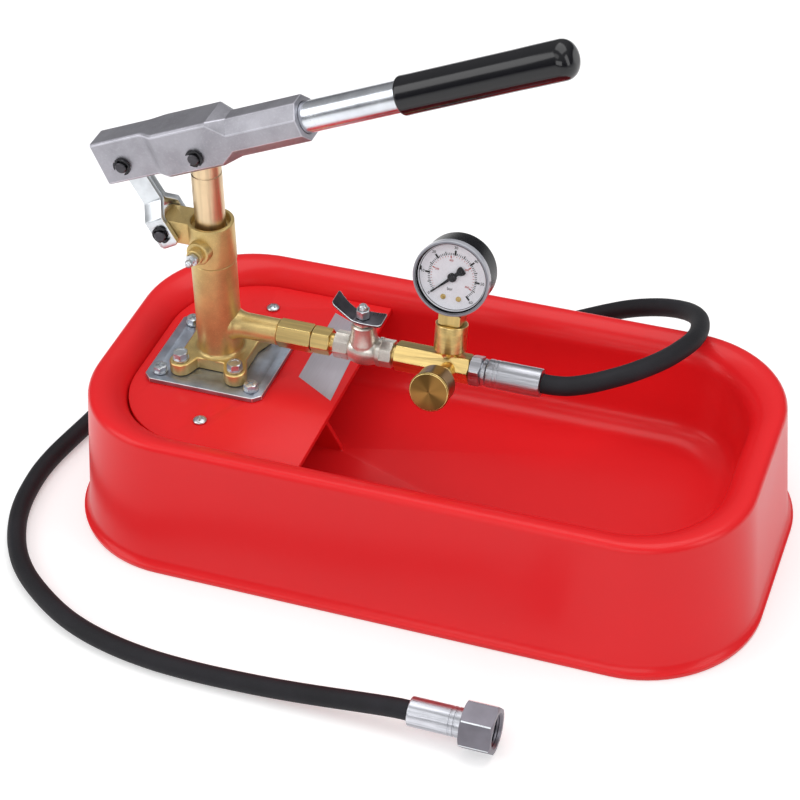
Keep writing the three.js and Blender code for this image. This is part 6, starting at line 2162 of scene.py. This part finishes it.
def hose_tail():
    """The end fitting: a tube into the ferrule, a neck through the nut and a sealing nose."""
    flange_start = TAIL_NUT_START + NUT_SHOULDER + SEAT_GAP
    flange_end = flange_start + TAIL_FLANGE_WIDTH
    nose_end = flange_end + TAIL_NOSE
    tube_start = TAIL_START + TAIL_FERRULE - TUBE_DEPTH
    profile = [
        (0, tube_start),
        (TUBE_RADIUS, tube_start),
        (TUBE_RADIUS, TAIL_NUT_START),
        (TAIL_NECK, TAIL_NUT_START),
        (TAIL_NECK, flange_start),
        (TAIL_FLANGE, flange_start),
        (TAIL_FLANGE, flange_end - SMALL_CHAMFER),
        (TAIL_FLANGE - SMALL_CHAMFER, flange_end),
        (TAIL_NECK + CHAMFER, flange_end),
        *round_edge(TAIL_NECK, nose_end, 0.0012, 5),
        (0, nose_end),
    ]
    piece = turned("tail_fitting", profile)
    return put(bored(piece, TAIL_BORE, tube_start - OVERRUN, nose_end + OVERRUN), TAIL)


def swivel_nut(hose):
    """A hexagon nut, bored through, with thread rings and a countersink in its mouth."""
    start, end = TAIL_NUT_START, TAIL_NUT_START + hose.nut_length
    shape = (hose.nut_flats, start, end, NUT_CHAMFER)
    piece = hexagon("nut", *shape, rounding=NUT_ROUNDING, worn=True)
    bored(piece, TAIL_NECK + RUNNING_GAP, start - OVERRUN, end)
    bottom = start + NUT_SHOULDER
    rings = [(0, bottom), (THREAD_CREST, bottom)]
    for number in range(THREAD_RINGS):
        height = bottom + THREAD_START + number * THREAD_PITCH
        rings.extend([(THREAD_CREST, height), (THREAD_BORE, height + THREAD_SLOPE)])
    mouth, past = THREAD_BORE + 0.0006, end + OVERRUN
    rings.extend([(THREAD_CREST, end - 0.0012), (mouth, end), (mouth, past), (0, past)])
    return put(cut(piece, turned("thread", rings)), TAIL @ turned_about("Z", NUT_TURN))


class TESTPUMP_OT_hose(bpy.types.Operator):
    """Model the hose, its fitting, its ferrules and the end with the swivel nut"""

    bl_idname = "test_pump.hose"
    bl_label = "Hose and swivel nut"

    def execute(self, context):
        hose = context.scene.test_pump_hose
        slot, steel = "zinc_fittings", "fitting"
        finished(hose_fitting(), "tank", slot, steel, "zinc_edge", node="hose_fitting")
        near = LINE @ moved(0, 0, FERRULE_START)
        far = TAIL @ (moved(0, 0, TAIL_START + TAIL_FERRULE) @ turned_about("X", 180))
        rows = (
            ("block_ferrule", FERRULE_END - FERRULE_START, near, "hose_ferrule"),
            ("far_ferrule", TAIL_FERRULE, far, "tail_ferrule"),
        )
        for name, length_along, place, node in rows:
            sleeve = put(ferrule(hose, length_along), place)
            sleeve.name = name
            finished(sleeve, "tank", slot, steel, node=node)
        tail = finished(hose_tail(), "tank", slot, steel, node="hose_tail")
        nut = finished(swivel_nut(hose), "nut", slot, "nut_zinc", "zinc_edge", node="swivel_nut")
        tube = finished(hose_tube(hose), "tank", "hose_rubber", "rubber", node="hose")
        return {"FINISHED"}


# Pieces inside, which keep the shapes of their solids

KEPT_NODES = {
    "suction_fitting": "line_brass",
    "suction_strainer": "black",
    "suction_ball": "zinc",
    "gland_seal": "seal",
    "check_ball": "zinc",
    "valve_seat_left": "seal",
    "valve_seat_right": "seal",
}


def check_spring():
    """The check spring, a copy of its solid with its points merged."""
    spring = copy_of(bpy.data.objects["check_spring"], "spring")
    spring.data.materials.clear()
    apply_modifier(spring, "WELD", merge_threshold=WELD)
    finished(spring, "tank", "valve_balls", "zinc", node="check_spring")
    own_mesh(spring)


class TESTPUMP_OT_inside(bpy.types.Operator):
    """Give the pieces inside the pump and the valves their finishes"""

    bl_idname = "test_pump.inside"
    bl_label = "Pieces inside"

    def execute(self, context):
        for node, finish in KEPT_NODES.items():
            for slot in bpy.data.objects[node].material_slots:
                slot.material = FINISHES[finish]
        check_spring()
        return {"FINISHED"}


# Stage: floor, light and camera

CAMERA_SPOT = (0.321367, -0.928047, 0.854969)
CAMERA_TURN = (20.16920152, 38.53266221, -1.50514085)
CAMERA_LENS = 107.599
CAMERA_SENSOR = 36
FLOOR_SIZE = 12
FLOOR_SHADES = ((0.77, 0.77, 0.77), (0.79, 0.79, 0.79))
BLACK = (0.0, 0.0, 0.0)
WHITE = (1.0, 1.0, 1.0)
SKY_LOW = (0.16, 0.16, 0.18)
SKY_TOP = 0.7
# Each lamp: its place, what it points at, its width, its height and its power
SOFTBOXES = {
    "overhead_box": ((0.1, 0.25, 1.5), (0, 0, 0.05), 1.5, 1.2, 10.5),
    "left_box": ((-1.3, -0.7, 0.9), (-0.05, 0, 0.08), 0.9, 1.3, 8),
    "right_box": ((1.4, -0.3, 0.8), (0.05, 0, 0.08), 0.6, 1.2, 5),
    "high_front_box": ((-0.4, -1.05, 1.45), (0, 0, 0.1), 1.0, 0.6, 2.2),
    "front_box": ((0.2, -1.7, 0.7), (0, 0, 0.05), 1.4, 0.7, 6.5),
}
FLOOR_GLOW = 0.38
SKY_STRENGTH = 0.42


def stage_floor():
    """A pale floor that keeps the pump's shadow and shows white to the camera and in metal."""
    bpy.ops.object.select_all(action="DESELECT")
    bpy.ops.mesh.primitive_plane_add(size=FLOOR_SIZE)
    floor = named("stage_floor")
    constants = {"Roughness": 0.9, "Specular IOR Level": 0.1, "Emission Strength": FLOOR_GLOW}
    paper = Finish("pale_floor", constants)
    paper.feed("Base Color", paper.mixed(paper.noise(3, 2), *FLOOR_SHADES))
    seen = paper.node("ShaderNodeLightPath")
    for ray in ("Is Glossy Ray", "Is Transmission Ray"):
        seen = seen + paper.node("ShaderNodeLightPath", output=ray)
    paper.feed("Emission Color", paper.mixed(seen, BLACK, WHITE))
    floor.data.materials.append(paper.material)


def studio_sky():
    """A pale room that is a little darker low down."""
    world = bpy.data.worlds.new("studio")
    world.use_nodes = True
    bpy.context.scene.world = world
    nodes, links = world.node_tree.nodes, world.node_tree.links
    background = nodes["Background"]
    direction = nodes.new("ShaderNodeTexCoord")
    height = nodes.new("ShaderNodeSeparateXYZ")
    ramp = nodes.new("ShaderNodeValToRGB")
    links.new(direction.outputs["Generated"], height.inputs["Vector"])
    links.new(height.outputs["Z"], ramp.inputs["Fac"])
    for stop, place, tint in zip(ramp.color_ramp.elements, (0.0, SKY_TOP), (SKY_LOW, WHITE)):
        stop.position = place
        stop.color = (*tint, 1)
    links.new(ramp.outputs["Color"], background.inputs["Color"])
    background.inputs["Strength"].default_value = SKY_STRENGTH


def softbox(name, spot, aim, width, height, power):
    bpy.ops.object.light_add(type="AREA", location=spot)
    lamp = bpy.context.active_object
    lamp.name = name
    lamp.data.shape = "RECTANGLE"
    lamp.data.size = width
    lamp.data.size_y = height
    lamp.data.energy = power
    lamp.rotation_euler = (Vector(aim) - Vector(spot)).to_track_quat("-Z", "Y").to_euler()


def stage_camera():
    """The camera at the photograph's angle: its azimuth, elevation and roll."""
    azimuth, elevation, roll = (math.radians(part) for part in CAMERA_TURN)
    level = math.cos(elevation)
    back = Vector((math.sin(azimuth) * level, -math.cos(azimuth) * level, math.sin(elevation)))
    right = Vector((math.cos(azimuth), math.sin(azimuth), 0))
    up = back.cross(right)
    across = right * math.cos(roll) + up * math.sin(roll)
    upward = up * math.cos(roll) - right * math.sin(roll)
    bpy.ops.object.camera_add(location=CAMERA_SPOT)
    camera = bpy.context.active_object
    camera.name = "photo_camera"
    camera.rotation_euler = Matrix((across, upward, back)).transposed().to_euler()
    camera.data.sensor_width = CAMERA_SENSOR
    camera.data.lens = CAMERA_LENS
    camera.data.clip_end = FLOOR_SIZE
    bpy.context.scene.camera = camera


class TESTPUMP_OT_stage(bpy.types.Operator):
    """Set up the floor, the studio light and the camera"""

    bl_idname = "test_pump.stage"
    bl_label = "Stage"

    def execute(self, context):
        stage_floor()
        studio_sky()
        for name, settings in SOFTBOXES.items():
            softbox(name, *settings)
        stage_camera()
        context.scene.view_settings.view_transform = "Standard"
        return {"FINISHED"}


class TESTPUMP_OT_finishes(bpy.types.Operator):
    """Mix the finishes from the colours in the panel"""

    bl_idname = "test_pump.finishes"
    bl_label = "Finishes"

    def execute(self, context):
        mix_finishes()
        return {"FINISHED"}


class TESTPUMP_PT_steps(bpy.types.Panel):
    """The sizes, the colours and the steps, in their order"""

    bl_idname = "TESTPUMP_PT_steps"
    bl_label = "Test Pump"
    bl_space_type = "VIEW_3D"
    bl_region_type = "UI"
    bl_category = "Test Pump"

    def draw(self, context):
        for group in GROUPS:
            column = self.layout.box().column()
            settings = getattr(context.scene, group)
            for name in settings.bl_rna.properties.keys():
                if name not in {"rna_type", "name"}:
                    column.prop(settings, name)
        for step in STEPS:
            self.layout.operator(step.bl_idname)


GROUPS = {
    "test_pump_tank": TestPumpTankSizes,
    "test_pump_works": TestPumpWorksSizes,
    "test_pump_hose": TestPumpHoseSizes,
    "test_pump_colours": TestPumpColours,
}
STEPS = (
    TESTPUMP_OT_stage,
    TESTPUMP_OT_finishes,
    TESTPUMP_OT_hose,
    TESTPUMP_OT_tank,
    TESTPUMP_OT_plate,
    TESTPUMP_OT_pump,
    TESTPUMP_OT_lever,
    TESTPUMP_OT_links,
    TESTPUMP_OT_line,
    TESTPUMP_OT_manifold,
    TESTPUMP_OT_gauge,
    TESTPUMP_OT_inside,
)


def register():
    for kind in (*GROUPS.values(), *STEPS, TESTPUMP_PT_steps):
        bpy.utils.register_class(kind)
    for name, group in GROUPS.items():
        setattr(bpy.types.Scene, name, bpy.props.PointerProperty(type=group))


def unregister():
    for name in GROUPS:
        delattr(bpy.types.Scene, name)
    for kind in reversed((*GROUPS.values(), *STEPS, TESTPUMP_PT_steps)):
        bpy.utils.unregister_class(kind)


def main():
    register()
    for step in STEPS:
        group, name = step.bl_idname.split(".")
        getattr(getattr(bpy.ops, group), name)()


if __name__ == "__main__":
    main()
